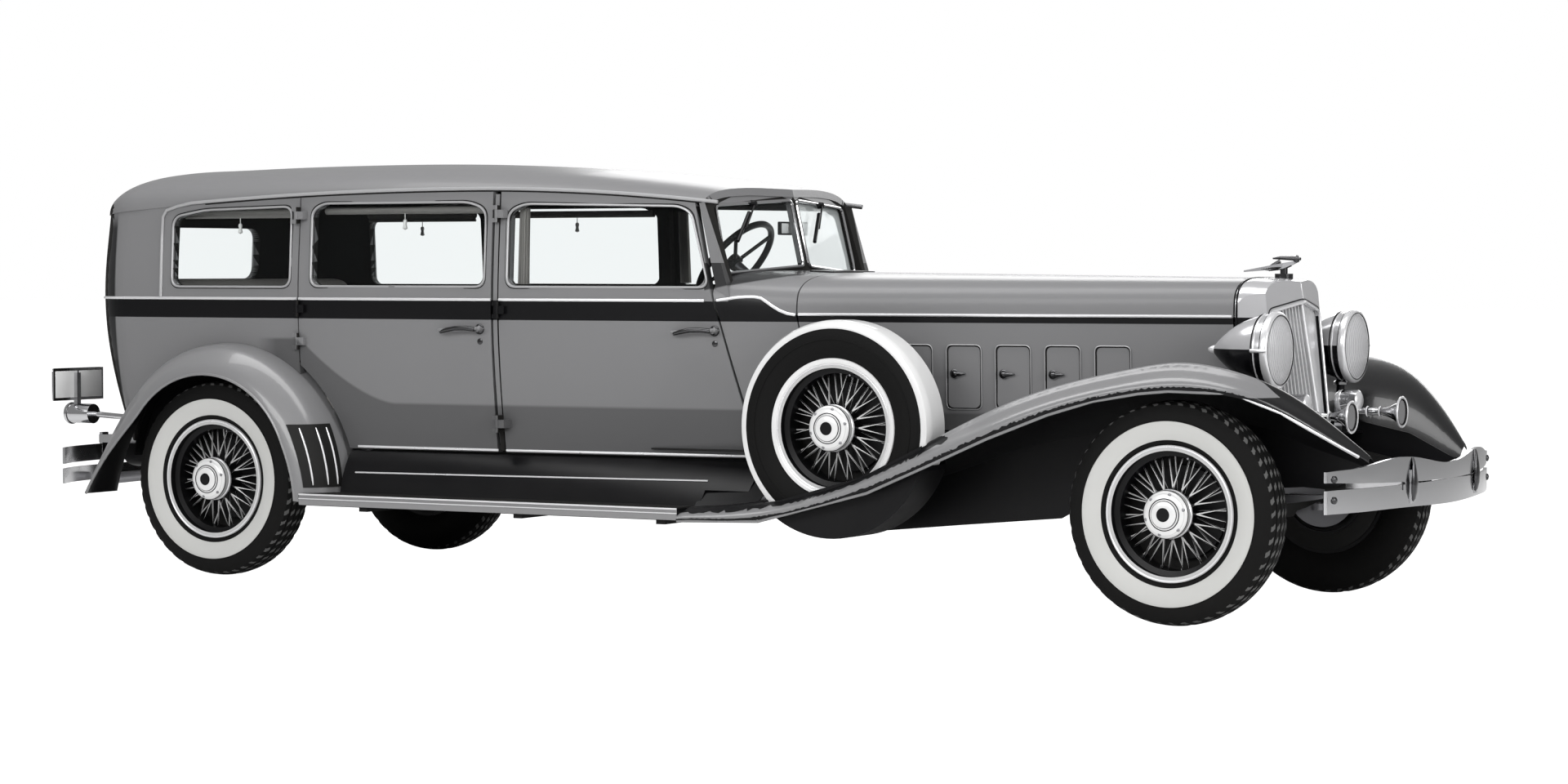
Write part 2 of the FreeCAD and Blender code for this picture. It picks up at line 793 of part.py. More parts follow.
def rear_section(z):
    outer = rear_level(z, 0)
    inner = rear_level(z, size.wall)
    front = size.rear_door_back - size.panel_gap
    y = side_y(size.widest_x, z)
    caps = [line((front, y, z), (front, y - size.wall, z)), line((front, -y, z), (front, -y + size.wall, z))]
    return Part.Wire(Part.__sortEdges__(outer + inner + caps))


def wheel_arch(radius, y0, y1):
    x = size.rear_axle_x
    return [rod((x, s * y0, axle_z), (x, s * y1, axle_z), radius) for s in (-1, 1)]


def side_window(points, corner, y0, y1):
    wire = rounded([(x, y0, z) for x, z in points], corner)
    return Part.Face(wire).extrude(Vector(0, y1 - y0, 0))


QUARTER_WINDOW = [(-2345, 1205), (-1730, 1205), (-1730, 1530), (-2180, 1518), (-2345, 1490)]
REAR_DOOR_WINDOW = [(-1617, 1208), (-782, 1208), (-782, 1510), (-860, 1541), (-1560, 1541), (-1617, 1512)]
FRONT_DOOR_WINDOW = [(-672, 1208), (214, 1208), (134, 1490), (80, 1518), (-600, 1532), (-672, 1500)]
REAR_HINGES = (1496, 1112, 978)
FRONT_HINGES = (1496, 1112, 656)
REAR_WINDOW = [(-420, 1231), (420, 1231), (420, 1457), (-420, 1457)]


def build_rear_body():
    sections = [rear_section(z) for z in spaced(size.sill_z, 1590, 6)]
    shell = Part.makeLoft(sections, True, False).common(under_roof(0.3))
    xs = spaced(size.rear_door_back - 30, -1440, 4)
    zs = spaced(size.sill_z, 900, 4)
    strip = skin([[(x, side_y(x, z), z) for z in zs] for x in xs],
                 [[(x, side_y(x, z) - size.wall, z) for z in zs] for x in xs])
    strip = strip.common(wheel_arch(size.arch_radius, 500, 900)[0])
    shell = fused([shell, strip, mirrored(strip)] + hinge_knuckles(size.rear_door_back, REAR_HINGES))
    arch = rear_fender_volume(size.seat_fit + 0.2)
    cuts = [arch, mirrored(arch), block(-3000, -2600, -560, 560, 500, 645)]
    for s in (-1, 1):
        cuts.append(side_window(QUARTER_WINDOW, size.window_corner, s * 600, s * 800))
    wire = rounded([(size.back_x - 60, y, z) for y, z in REAR_WINDOW], 60)
    cuts.append(Part.Face(wire).extrude(Vector(200, 0, 0)))
    solid("rear_body", shell.cut(cuts))


ROOF_STATIONS = (300, 60, -200, -600, -1100, -1600, -2050, -2350, -2520, -2640, -2725, -2772, -2797, -2809)


def roof_half(x, t, inset):
    """Point on the roof's section at x; t runs from 0 at the left edge to 1 at the right edge."""
    start = size.roof_start
    rear = max(size.roof_back_x + 330 - x, 0.0) / 330
    rear = min(rear, 0.985)
    drop = 1 - rear ** 2.4
    crest = size.roof_top
    if x > size.roof_crest_x:
        crest -= 44e-6 * (x - size.roof_crest_x) ** 2
    else:
        crest -= 16e-6 * (x - size.roof_crest_x) ** 2
    high = (crest - start) * drop ** 0.42
    corner = max(size.roof_back_x + size.back_corner_radius - x, 0.0)
    radius = size.back_corner_radius
    pull = radius - math.sqrt(max(radius ** 2 - corner ** 2, 0.0))
    half = side_y(x, start) - pull
    angle = math.pi * t
    reach = abs(math.cos(angle)) ** 0.62
    rise = max(math.sin(angle), 0.0) ** 0.62
    y = math.copysign(reach, math.cos(angle)) * (half - inset)
    return (x, y, start + rise * (high - inset))


def build_roof():
    ts = spaced(0, 1, 17)
    xs = ROOF_STATIONS
    outer = [[roof_half(x, t, 0) for t in ts] for x in xs]
    inner = [[roof_half(x, t, size.roof_wall) for t in ts] for x in xs]
    shell = skin(outer, inner)
    lip = size.visor_reach
    ahead = [
        shield_piece([(0, 1400), (s * 900, 1400), (s * 900, 1800), (0, 1800)], -lip - 500, 500)
        for s in (-1, 1)
    ]
    solid("roof", shell.cut([under_roof(0)] + ahead))


def under_ceiling(fit):
    """The space below the roof's inner face, for what stands up into it."""
    ts = spaced(0, 1, 17)
    sections = []
    for x in ROOF_STATIONS[:4]:
        row = [roof_half(x, t, size.roof_wall + fit) for t in ts]
        sections.append(Part.Wire([spline(row), line(row[-1], row[0])]))
    return Part.makeLoft(sections, True, False)


def door_outline(back, front, rear_door):
    """Side view of a door: sill, edges and the arch over the rear wheel or the raked front edge."""
    top = 1700
    if rear_door:
        return [(back, 500), (front, 500), (front, top), (back, top)]
    return [(back, 500)] + door_rake(0) + [(back, top)]


def door_rake(gap):
    """Raked front edge of the front door in side view, moved forward by the gap."""
    front = size.front_door_front + gap
    return [
        (front, 500), (front, 740), (front - 95, 1073), (front - 123, 1160), (front - 201, 1520),
        (front - 240, 1700)
    ]


def door_skew(back, front):
    """Slope of the door's edges in plan, so that the latch edge swings clear of its pillar."""
    axis_y = side_y(back, size.belt_z) + size.hinge_stand
    return -(axis_y - side_y(front, 900)) / (front - back)


def build_door(back, front, rear_door, window, handle_x):
    inset = size.wall
    xs = spaced(back - 60, front + 60, 6)
    zs = spaced(size.sill_z, 1590, 6)
    outer = [[(x, side_y(x, z), z) for z in zs] for x in xs]
    inner = [[(x, side_y(x, z) - inset, z) for z in zs] for x in xs]
    slab = skin(outer, inner)
    skew = -door_skew(back, front)
    cell = side_prism(door_outline(back - 100, front, rear_door), 900, 400, skew)
    cell.translate(Vector(skew * (900 - side_y(back, size.belt_z)), 0, 0))
    slab = slab.common(block(back, front + 100, 400, 900, 400, 1700))
    panel = slab.common(cell).common(under_roof(size.panel_gap))
    cuts = [side_window(window, size.window_corner, 500, 900)]
    if rear_door:
        cuts.append(wheel_arch(size.arch_radius + size.panel_gap, 500, 900)[1])
    panel = panel.cut(cuts)
    axis_y = side_y(back, size.belt_z) + size.hinge_stand
    barrels = []
    bores = []
    reliefs = []
    for z in REAR_HINGES if rear_door else FRONT_HINGES:
        barrels.append(rod((back, axis_y, z - 16), (back, axis_y, z + 16), size.hinge_radius))
        skin_y = side_y(back + 20, z)
        barrels.append(block(back, back + 34, skin_y - 6, axis_y, z - 16, z + 16))
        bores.append(rod((back, axis_y, z - 20), (back, axis_y, z + 20), size.hinge_pin + size.pivot_fit))
        reliefs.append(rod((back, axis_y, z - 40), (back, axis_y, z + 40), size.hinge_radius + 5))
    grip_y = side_y(handle_x, 1035)
    handle = [
        rod((handle_x, grip_y - 5, 1035), (handle_x, grip_y + 34, 1035), 11),
        rod((handle_x + 12, grip_y + 34, 1038), (handle_x - 176, grip_y + 40, 1028), 8),
        ball((handle_x + 12, grip_y + 34, 1038), 10),
        ball((handle_x - 176, grip_y + 40, 1028), 8),
    ]
    shape = fused([panel.cut(reliefs)] + barrels + handle).cut(bores)
    xs = spaced(back + 10, front - 10, 5)
    zs = spaced(1150, 1560, 4)
    middle = inset / 2
    outer = [[(x, side_y(x, z) - middle + size.glass / 2, z) for z in zs] for x in xs]
    inner = [[(x, side_y(x, z) - middle - size.glass / 2, z) for z in zs] for x in xs]
    pane = skin(outer, inner).common(side_window([(x, z) for x, z in window], size.window_corner, 500, 900))
    return shape, pane


def build_doors():
    rear = (size.rear_door_back, size.rear_door_front, True, REAR_DOOR_WINDOW, size.rear_door_front - 48)
    front = (size.front_door_back, size.front_door_front, False, FRONT_DOOR_WINDOW, 250)
    for name, row in (("rear_door", rear), ("front_door", front)):
        panel, pane = build_door(*row)
        solid(name + "_left", panel)
        solid(name + "_right", mirrored(panel))
        solid(name + "_glass_left", pane)
        solid(name + "_glass_right", mirrored(pane))


# Cowl, windshield and hood

def arch_point(half, low, high, t, power):
    """Point on a hood or cowl arch in Y and Z; t runs from 0 at the left foot to 1 at the right foot."""
    angle = math.pi * t
    y = math.copysign(abs(math.cos(angle)) ** power, math.cos(angle)) * half
    return y, low + (high - low) * max(math.sin(angle), 0.0) ** power


def cowl_section(x, inset):
    """Arch of the cowl at x, from sill over the top to sill."""
    t = (x - 200) / (size.cowl_front - 200)
    half = side_y(x, size.belt_z) + (size.hood_half_back - side_y(size.cowl_front, size.belt_z)) * t ** 2
    low = 1130 + (size.hood_shoulder - 1130) * t
    high = 1276 + (size.hood_top_back - 1276) * t
    sill = side_y(x, size.sill_z) - side_y(x, size.belt_z)
    rows = []
    for z in spaced(size.sill_z, low, 5)[:-1]:
        rows.append((x, half - inset + sill * ((low - z) / (low - size.sill_z)) ** 1.6, z))
    arch = [arch_point(half - inset, low, high - inset, u, 0.55) for u in spaced(0, 1, 15)]
    return rows + [(x, y, z) for y, z in arch] + [(x, -y, z) for _, y, z in reversed(rows)]


def build_cowl():
    xs = spaced(236, size.cowl_front, 5)
    wall = 14
    shell = skin([cowl_section(x, 0) for x in xs], [cowl_section(x, wall) for x in xs])
    front, gap = size.front_door_front, size.latch_gap
    skew = door_skew(size.front_door_back, front)
    opening = [(0, 500)] + door_rake(gap) + [(0, 1700)]
    cut = fused([
        side_prism(opening, 900, 545, -skew),
        side_prism([(0, 500)] + door_rake(gap)[:4] + [(0, 1158)], 900, 440, -skew),
    ])
    cut.translate(Vector(-skew * (900 - side_y(size.front_door_back, size.belt_z)), 0, 0))
    drop = size.hinge_rod + size.hinge_fit
    centre_rod = rod((size.cowl_front - 20, 0, hood_top(size.cowl_front) - drop),
                     (size.shell_back - size.hinge_fit, 0, hood_top(size.shell_back) - drop), size.hinge_rod)
    wall_x = size.cowl_front - 8.4
    rows = [p for p in cowl_section(wall_x + 6, wall - 1)]
    face = Part.Face(Part.Wire([spline(rows), line(rows[-1], rows[0])]))
    firewall = face.extrude(Vector(-6, 0, 0)).cut([
        block(400, 600, -180, 180, 500, 700), block(400, 600, -600, 600, 500, size.rail_top + size.seat_fit),
    ])
    zs = spaced(size.hood_low, size.hood_shoulder - 2, 3)
    wing_xs = (size.cowl_front - 7, 600, size.hood_seam_low_x)
    wing = skin([[hood_wall(x, z, 0) for z in zs] for x in wing_xs],
                [
                    [hood_wall(x, z, size.hood_skin) for z in zs] for x in wing_xs
                ]).common(hood_seam(size.panel_gap))
    solid("cowl", fused([shell.cut([cut, mirrored(cut)]), centre_rod, firewall, both_sides(wing)]))


def shield_x(y, z):
    """Where the windshield's outer face stands: a flat plane each side of the centre post."""
    sweep = (size.shield_centre_low_x - size.shield_side_low_x) * abs(y) / size.shield_side_y
    rake = (size.shield_centre_low_x - size.shield_centre_top_x) / (size.shield_high - size.shield_low)
    return size.shield_centre_low_x - sweep - rake * (z - size.shield_low)


def shield_piece(corners, depth, thickness):
    """Prism behind the windshield's plane, from outline corners in Y and Z."""
    face = Part.Face(polygon([(shield_x(y, z) - depth, y, z) for y, z in corners]))
    return face.extrude(Vector(-thickness, 0, 0))


def build_windshield():
    """Vee frame with a centre post, standing on the cowl between the two pillars."""
    depth = 26
    pieces = []
    panes = []
    low, high, edge = size.shield_low, size.shield_high, size.shield_side_y
    for side in (1, -1):
        outline = [(0, low - 30), (side * edge, low - 80), (side * (edge - 4), high + 60), (0, high + 60)]
        opening = [(side * 20, low + 20), (side * (edge - 36), low - 10), (side * (edge - 48), high - 34),
                   (side * 20, high - 8)]
        panel = shield_piece(outline, 0, depth)
        hole = shield_piece(opening, -40, depth + 80)
        pieces.append(panel.cut(hole))
        panes.append(shield_piece(opening, 10, size.glass).common(hole))
        back = size.front_door_front + size.latch_gap
        post = [(back - 207, 1545), (back - 182, 1545), (back - 66, 1168), (back - 121, 1168)]
        web = [
            (size.shield_side_top_x - 40, 1545), (back - 182, 1545), (back - 66, 1168),
            (size.shield_side_low_x - 15, 1168)
        ]
        pieces.append(side_prism(post, side * 552, side * size.shield_post_y))
        pieces.append(side_prism(web, side * 538, side * 553))
    keep = fused([under_roof(size.seat_fit), under_ceiling(size.seat_fit)])
    xs = spaced(200, size.cowl_front, 5)
    sections = []
    for x in xs:
        rows = cowl_section(x, -size.seat_fit)
        sections.append(Part.Wire([spline(rows), line(rows[-1], rows[0])]))
    cowl_form = Part.makeLoft(sections, True, False)
    frame = fused(pieces).common(keep).cut(cowl_form)
    frame = max(frame.Solids, key=lambda s: s.Volume)
    panes = [p.common(keep).cut(cowl_form) for p in panes]
    solid("windshield_frame", frame)
    quarter = side_window(QUARTER_WINDOW, size.window_corner, 600, 900)
    zs = spaced(1150, 1560, 4)
    outer = [
        [(x, side_y(size.widest_x, z) - size.wall / 2 + 3, z) for z in zs] for x in (-2400, -2000, -1700)
    ]
    inner = [
        [(x, side_y(size.widest_x, z) - size.wall / 2 - 3, z) for z in zs] for x in (-2400, -2000, -1700)
    ]
    side_pane = skin(outer, inner).common(quarter)
    back = size.back_x + size.wall / 2
    wire = rounded([(back - 3, y, z) for y, z in REAR_WINDOW], 60)
    back_pane = Part.Face(wire).extrude(Vector(6, 0, 0))
    solid("fixed_glass", Part.makeCompound(panes + [side_pane, mirrored(side_pane), back_pane]))


def hood_half(x):
    t = (x - size.hood_back) / (size.hood_front - size.hood_back)
    return size.hood_half_back + (size.hood_half_front - size.hood_half_back) * t


def hood_top(x):
    t = (x - size.hood_back) / (size.hood_front - size.hood_back)
    return size.hood_top_back + (size.hood_top_front - size.hood_top_back) * t


def hood_wall(x, z, inset):
    """Point on the upright side of the hood, which draws in a little downwards."""
    return x, hood_half(x) - inset - size.hood_tuck * (size.hood_shoulder - z) / (
        size.hood_shoulder - size.hood_low
    ), z


def hood_seam(gap):
    """Everything behind the raked joint between the cowl and the hood's side leaf."""
    x0, x1 = size.hood_back - gap, size.hood_seam_low_x - gap
    return side_prism([(x0, size.hood_shoulder), (x1, size.hood_low), (x1, 600), (400, 600),
                       (400, size.hood_shoulder)],
                      0, 900)


def build_hood():
    """Two top leaves hinged on the centre line, each with a side leaf hinged on the shoulder."""
    xs = spaced(size.hood_back, size.hood_front, 4)
    ts = spaced(0, 0.5, 9)
    wall = size.hood_skin

    def arch(x, inset):
        rows = []
        for t in ts:
            y, z = arch_point(hood_half(x) - inset, size.hood_shoulder, hood_top(x) - inset, t, 0.55)
            rows.append((x, max(y, 0.0), z))
        return rows

    leaf = skin([arch(x, 0) for x in xs], [arch(x, wall) for x in xs])
    edge = size.hinge_rod + size.hinge_fit
    leaf = leaf.cut(block(0, 3000, -5, edge, 1000, 1400))
    upper = side_prism([(size.hood_back - 5, hood_top(size.hood_back) - edge),
                        (size.hood_front + 5, hood_top(size.hood_front) - edge),
                        (size.hood_front + 5, 1400), (size.hood_back - 5, 1400)], -5, edge + 3)
    leaf = leaf.cut(upper)
    x0, x1 = size.hood_back, size.hood_front
    shoulder_z = size.hood_shoulder - wall / 2
    shoulder = rod(
        (x0, hood_half(x0) - wall / 2, shoulder_z), (x1, hood_half(x1) - wall / 2, shoulder_z),
        size.hinge_rod
    )
    leaf = fused([leaf, shoulder])
    solid("hood_top_left", leaf)
    solid("hood_top_right", mirrored(leaf))

    zs = spaced(size.hood_low, shoulder_z - size.hinge_rod - size.hinge_fit, 3)

    def wall_rows(inset):
        return [[hood_wall(x, z, inset) for z in zs] for x in xs]

    pieces = [skin(wall_rows(0), wall_rows(wall)).cut(hood_seam(0))]
    slope = (size.hood_half_front - size.hood_half_back) / (size.hood_front - size.hood_back)
    for i in range(5):
        x0 = size.vent_first_x + i * size.vent_pitch
        middle_z = (size.vent_low + size.vent_high) / 2
        corners = [(x0, size.vent_low), (x0 + size.vent_width, size.vent_low),
                   (x0 + size.vent_width, size.vent_high), (x0, size.vent_high)]
        y0 = hood_wall(x0 + size.vent_width / 2, middle_z, 0)[1]
        wire = rounded([(x, 0, z) for x, z in corners], 22)
        door = Part.Face(wire).extrude(Vector(0, 10, 0))
        door.Placement = FreeCAD.Placement(Vector(0, 0, 0),
                                           Rotation(Vector(0, 0, 1), math.degrees(math.atan(slope))),
                                           Vector(x0 + size.vent_width / 2, 0, 0))
        door.translate(Vector(0, y0 - 6, 0))
        pieces.append(door)
    side = fused(pieces)
    solid("hood_side_left", side)
    solid("hood_side_right", mirrored(side))


# Nose

SHELL_ARCHES = [(2284, 285, 1241), (2350, 284, 1243), (2400, 279, 1238), (2440, 269, 1223), (2475, 252, 1184),
                (2540, 235, 1120)]


def shell_form(inset, z0, z1):
    """Leaning vee-fronted column of the radiator shell under its arched top, shrunk by inset."""
    def level(z):
        lean = size.shell_rake * (size.shell_top - z) / (size.shell_top - size.shell_low)
        back = size.shell_back - (1 if inset else 0)
        corner = size.shell_corner_x + lean * 0.6
        ridge = size.shell_ridge_top_x + lean
        return polygon([
            (back, -size.shell_back_y + inset, z), (corner - inset, -size.shell_corner_y + inset, z),
            (ridge - inset, 0, z), (
                corner - inset, size.shell_corner_y - inset, z
            ), (back, size.shell_back_y - inset, z),
        ])
    sections = []
    for x, half, top in SHELL_ARCHES:
        foot = min(size.hood_shoulder, top - 60)
        arch = [arch_point(half - inset, foot, top - inset, t, 0.55) for t in spaced(0, 1, 17)]
        left, right = (x, half - inset, z0 - 5), (x, inset - half, z0 - 5)
        rows = [(x, y, z) for y, z in arch]
        sections.append(
            Part.Wire([spline(rows), line(rows[-1], right), line(right, left), line(left, rows[0])])
        )
    arches = Part.makeLoft(sections, True, False)
    arches.translate(Vector(-1 if inset else 0, 0, 0))
    return Part.makeLoft([level(z0), level(z1)], True, True).common(arches)


def shell_front(y, z):
    """Inner face of the shell's vee front."""
    lean = size.shell_rake * (size.shell_top - z) / (size.shell_top - size.shell_low)
    ridge, corner = size.shell_ridge_top_x + lean, size.shell_corner_x + lean * 0.6
    return ridge - size.shell_wall - (ridge - corner) * y / (size.shell_corner_y - size.shell_wall)


def build_radiator():
    outer = shell_form(0, size.shell_low, size.shell_top + 10)
    inner = shell_form(size.shell_wall, size.shell_low - 10, size.shell_top + 10)
    mouth_y = size.shell_corner_y - 20
    low, side_top, top = 690, 1112, 1150
    wire = rounded([(2330, -mouth_y, low), (2330, mouth_y, low), (2330, mouth_y, side_top), (2330, 0, top),
                    (2330, -mouth_y, side_top)], 34)
    mouth = Part.Face(wire).extrude(Vector(400, 0, 0))
    solid("radiator_shell", outer.cut(inner).cut(mouth))

    fit = size.seat_fit
    count = int(size.grille_bars)
    span = mouth_y - 8
    half = size.grille_bar_width / 2
    bars = []
    for y in spaced(-span, span, count):
        foot, tip = low - 18, top - (top - side_top) * abs(y) / mouth_y + 4
        low_x, top_x = shell_front(abs(y) + half, foot) - fit, shell_front(abs(y) + half, tip) - fit
        bars.append(side_prism([(low_x - 18, foot), (low_x, foot), (top_x, tip), (top_x - 18, tip)],
                               y - half, y + half))
    core = shell_form(size.shell_wall + fit, low, 1130).common(block(2290, 2335, -300, 300, low, 1130))
    solid("grille", Part.makeCompound([core] + bars))

    top = size.shell_top
    x = size.cap_x
    cap = rod((x, 0, top - 3), (x, 0, top + 18), 34)
    neck = rod((x, 0, top + 10), (x, 0, top + 40), 14)
    wing = Part.makeLoft([polygon([(x + 60, -3, top + 62), (x + 60, 3, top + 62),
                                   (x + 60, 3, top + 68), (x + 60, -3, top + 68)]),
                          polygon([(x, -16, top + 36), (x, 16, top + 36), (x, 12, top + 58),
                                   (x, -12, top + 58)]),
                          polygon([(x - 160, -4, top + 24), (x - 160, 4, top + 24), (x - 160, 3, top + 30),
                                   (x - 160, -3, top + 30)])],
                         True, True)
    crown = shell_form(-fit, top - 40, top + 10)
    solid("radiator_cap", fused([cap.cut(crown), neck.cut(crown), wing]))


def build_lamps():
    radius, length = size.lamp_radius, size.lamp_length
    profile = [
        Part.LineSegment(Vector(0, 0, 0), Vector(0, radius, 0)),
        Part.LineSegment(Vector(0, radius, 0), Vector(-26, radius, 0)),
        Part.Arc(Vector(-26, radius, 0), Vector(-length * 0.6, radius * 0.68, 0), Vector(-length, 0, 0)),
        Part.LineSegment(Vector(-length, 0, 0), Vector(0, 0, 0)),
    ]
    body = turned("lamp_form", profile)
    doc.recompute()
    bowls = []
    lenses = []
    for s in (-1, 1):
        bowl = body.Shape.copy()
        bowl.Placement = FreeCAD.Placement(Vector(size.lamp_x, s * size.lamp_y, size.lamp_z), Rotation())
        seat = rod(
            (size.lamp_x - 14, s * size.lamp_y, size.lamp_z),
            (size.lamp_x + 1, s * size.lamp_y, size.lamp_z), radius - 10
        )
        stem = rod(
            (size.lamp_x - 60, s * size.lamp_y, 658.3),
            (size.lamp_x - 60, s * size.lamp_y, size.lamp_z - 60), 16
        )
        foot = rod((size.lamp_x - 60, s * size.lamp_y, 658.3), (size.lamp_x - 60, s * size.lamp_y, 670), 34)
        bowls.append(fused([bowl.cut(seat), stem, foot]))
        dome = Part.makeSphere(330, Vector(size.lamp_x - 302, s * size.lamp_y, size.lamp_z))
        lens = dome.common(rod((size.lamp_x - 13.7, s * size.lamp_y, size.lamp_z),
                               (size.lamp_x + 60, s * size.lamp_y, size.lamp_z), radius - 10.3))
        lenses.append(lens)
    solid("headlamps", Part.makeCompound(bowls))
    solid("lamp_lenses", Part.makeCompound(lenses))


def build_horns():
    x, z, radius = size.horn_x, size.horn_z, size.horn_radius
    profile = [
        Part.LineSegment(Vector(0, 0, 0), Vector(0, radius, 0)),
        Part.Arc(Vector(0, radius, 0), Vector(-45, 22, 0), Vector(-110, 14, 0)),
        Part.LineSegment(Vector(-110, 14, 0), Vector(-240, 10, 0)),
        Part.LineSegment(Vector(-240, 10, 0), Vector(-240, 0, 0)),
        Part.LineSegment(Vector(-240, 0, 0), Vector(0, 0, 0)),
    ]
    form = turned("horn_form", profile)
    doc.recompute()
    pieces = []
    for s in (-1, 1):
        bell = form.Shape.copy()
        bell.Placement = FreeCAD.Placement(Vector(x, s * size.horn_y, z), Rotation())
        motor = rod((x - 240, s * size.horn_y, z + 40), (x - 170, s * size.horn_y, z + 40), 40)
        strap = block(
            x - 262, x - 232, s * size.horn_y - 12,
            s * size.horn_y + 45 if s > 0 else s * size.horn_y + 12, 658.3, z + 40
        )
        if s < 0:
            strap = block(x - 262, x - 232, s * size.horn_y - 45, s * size.horn_y + 12, 658.3, z + 40)
        pieces.append(fused([bell, motor, strap]))
    solid("horns", Part.makeCompound(pieces))


# Fenders

FENDER_BEAD = [(250, 312), (607, 322), (1072, 443), (1324, 551), (1571, 658), (1814, 750),
               (1993, 802), (2169, 832),
               (2286, 843), (2520, 838), (2660, 770), (2780, 680), (2895, 590)]
FENDER_CROWN = [(250, 362), (607, 392), (1018, 505), (1272, 629), (1521, 751), (1766, 844),
                (2006, 900), (2183, 934),
                (2300, 944), (2416, 936), (2560, 892), (2660, 836), (2780, 735), (2895, 612)]


def fender_rows(x, inset):
    """Section of the front fender at x, from its inner edge over the crown to the outer bead."""
    nose = max((x - 2420) / 475, 0.0)
    outer = size.fender_outer_y - 4 - 365 * nose ** 1.6
    crown = size.fender_crown_y - 290 * nose ** 1.3
    bead_z = along(x, FENDER_BEAD)
    crown_z = along(x, FENDER_CROWN)
    inner_z = along(
        x, [(250, 361), (607, 372), (1100, 470), (1600, 640), (2000, 700), (2420, 720), (2895, 560)]
    )
    inner = size.fender_inner_y + (720 - size.fender_inner_y) * max((650 - x) / 400, 0.0) ** 1.5
    side = (outer - crown) * 0.42
    return [
        (x, inner, inner_z - inset), (
            x, inner + (crown - inner) * 0.5, inner_z + (crown_z - inner_z) * 0.72 - inset
        ),
        (x, crown, crown_z - inset), (x, crown + side, crown_z - (crown_z - bead_z) * 0.2 - inset * 0.8),
        (x, outer - 3 - inset, bead_z + (crown_z - bead_z) * 0.45), (x, outer - inset, bead_z),
    ]


def build_front_fenders():
    xs = [250, 450, 700, 950, 1250, 1550, 1850, 2100, 2300, 2450, 2600, 2740, 2850, 2895]
    ribbon = skin([fender_rows(x, 0) for x in xs], [fender_rows(x, size.fender_skin) for x in xs])
    y = size.fender_inner_y
    apron = side_prism([
        (640, 300), (900, 271), (1250, 306), (1660, 345), (1800, 420), (2280, 470), (2750, 500), (2880, 560),
        (2700, 652), (2400, 716), (2000, 700), (1600, 640), (1100, 480), (640, 380),
    ], y - size.fender_skin, y + 1)
    upper = side_prism(
        [(640, 340), (1100, 462), (1600, 632), (1675, 658), (640, 658)], y - size.fender_skin, y + 1
    )
    ledge = plan_prism([
        (600, hood_half(600) + 12), (1090, hood_half(1090) + 2), (1090, y), (2510, y),
        (2510, 275), (2290, 262),
        (600, hood_half(600) - 40),
    ], 650, 658)
    centre = (size.spare_x, size.spare_z)
    radius = size.tyre_radius + size.well_gap
    y0 = size.spare_y - size.tyre_width / 2 - size.well_gap
    y1 = size.spare_y + size.tyre_width / 2 + size.well_gap
    slot = rod((centre[0], y0, centre[1]), (centre[0], y1, centre[1]), radius)
    drum = rod((centre[0], y0 - 6, centre[1]), (centre[0], y1 + 6, centre[1]), radius + 6)
    lip = [(x, z - 6) for x, z in FENDER_CROWN if x < 1400]
    below = side_prism([(lip[0][0], 200)] + lip + [(lip[-1][0], 200)], 400, 900)
    well = drum.cut(slot).common(below)
    arm = block(size.spare_x - 25.3, size.spare_x + 25.3, y - 20, y + 220, 469.7, 500.3)
    fender = fused([ribbon, apron, upper, ledge, well]).cut([slot, arm])
    solid("front_fenders", both_sides(fender))


REAR_FENDER_ANGLES = (-9, 4, 22, 45, 70, 95, 120, 142, 160, 175, 187)


def rear_fender_rows(angle, inset):
    """Section of the rear fender on a ray from the axle, from the body wall to the bead."""
    degrees = math.degrees(angle)
    flare = 200 * max((degrees - 140) / 47, 0.0) ** 1.9 + 42 * max((22 - degrees) / 32, 0.0) ** 1.5
    bead = 436 + flare
    crest = 512 + flare * 0.75
    root = 566 + flare * 0.5
    wall_y = 662
    rows = [
        (wall_y, root + 4 - inset), (745, root - 6 - inset), (815, (root + crest) / 2 + 6 - inset),
        (862, crest - 6 - inset * 0.8), (
            888 - inset * 0.6, (crest + bead) / 2 - inset * 0.5
        ), (900 - inset, bead),
    ]
    x, z = size.rear_axle_x, axle_z
    return [(x + math.cos(angle) * r, y, z + math.sin(angle) * r) for y, r in rows]


def rear_fender_volume(grow):
    """Everything inside the rear fender's outer surface, grown a little, for what has to meet it."""
    sections = []
    x, z = size.rear_axle_x, axle_z
    for degrees in REAR_FENDER_ANGLES:
        angle = math.radians(degrees)
        rows = rear_fender_rows(angle, -grow)
        core_x, core_z = x + math.cos(angle) * 60, z + math.sin(angle) * 60
        root_x, root_z = rows[0][0], rows[0][2]
        last = rows[-1]
        corners = [last, (core_x, last[1], core_z), (core_x, 560, core_z), (root_x, 560, root_z), rows[0]]
        sections.append(Part.Wire([spline(rows)] + [line(a, b) for a, b in zip(corners, corners[1:])]))
    return Part.makeLoft(sections, True, False)


def build_rear_fenders():
    angles = [math.radians(a) for a in REAR_FENDER_ANGLES]
    ribbon = skin(
        [rear_fender_rows(a, 0) for a in angles], [rear_fender_rows(a, size.fender_skin) for a in angles]
    )
    x = size.rear_axle_x
    y0 = size.rear_fender_inner_y
    outer = rod((x, y0, axle_z), (x, 668, axle_z), 567)
    inner = rod((x, y0 + 6, axle_z), (x, 700, axle_z), 560)
    house = outer.cut(inner).cut(block(x - 600, x + 600, 500, 800, -200, axle_z + 75))
    solid("rear_fenders", both_sides(fused([ribbon, house])))


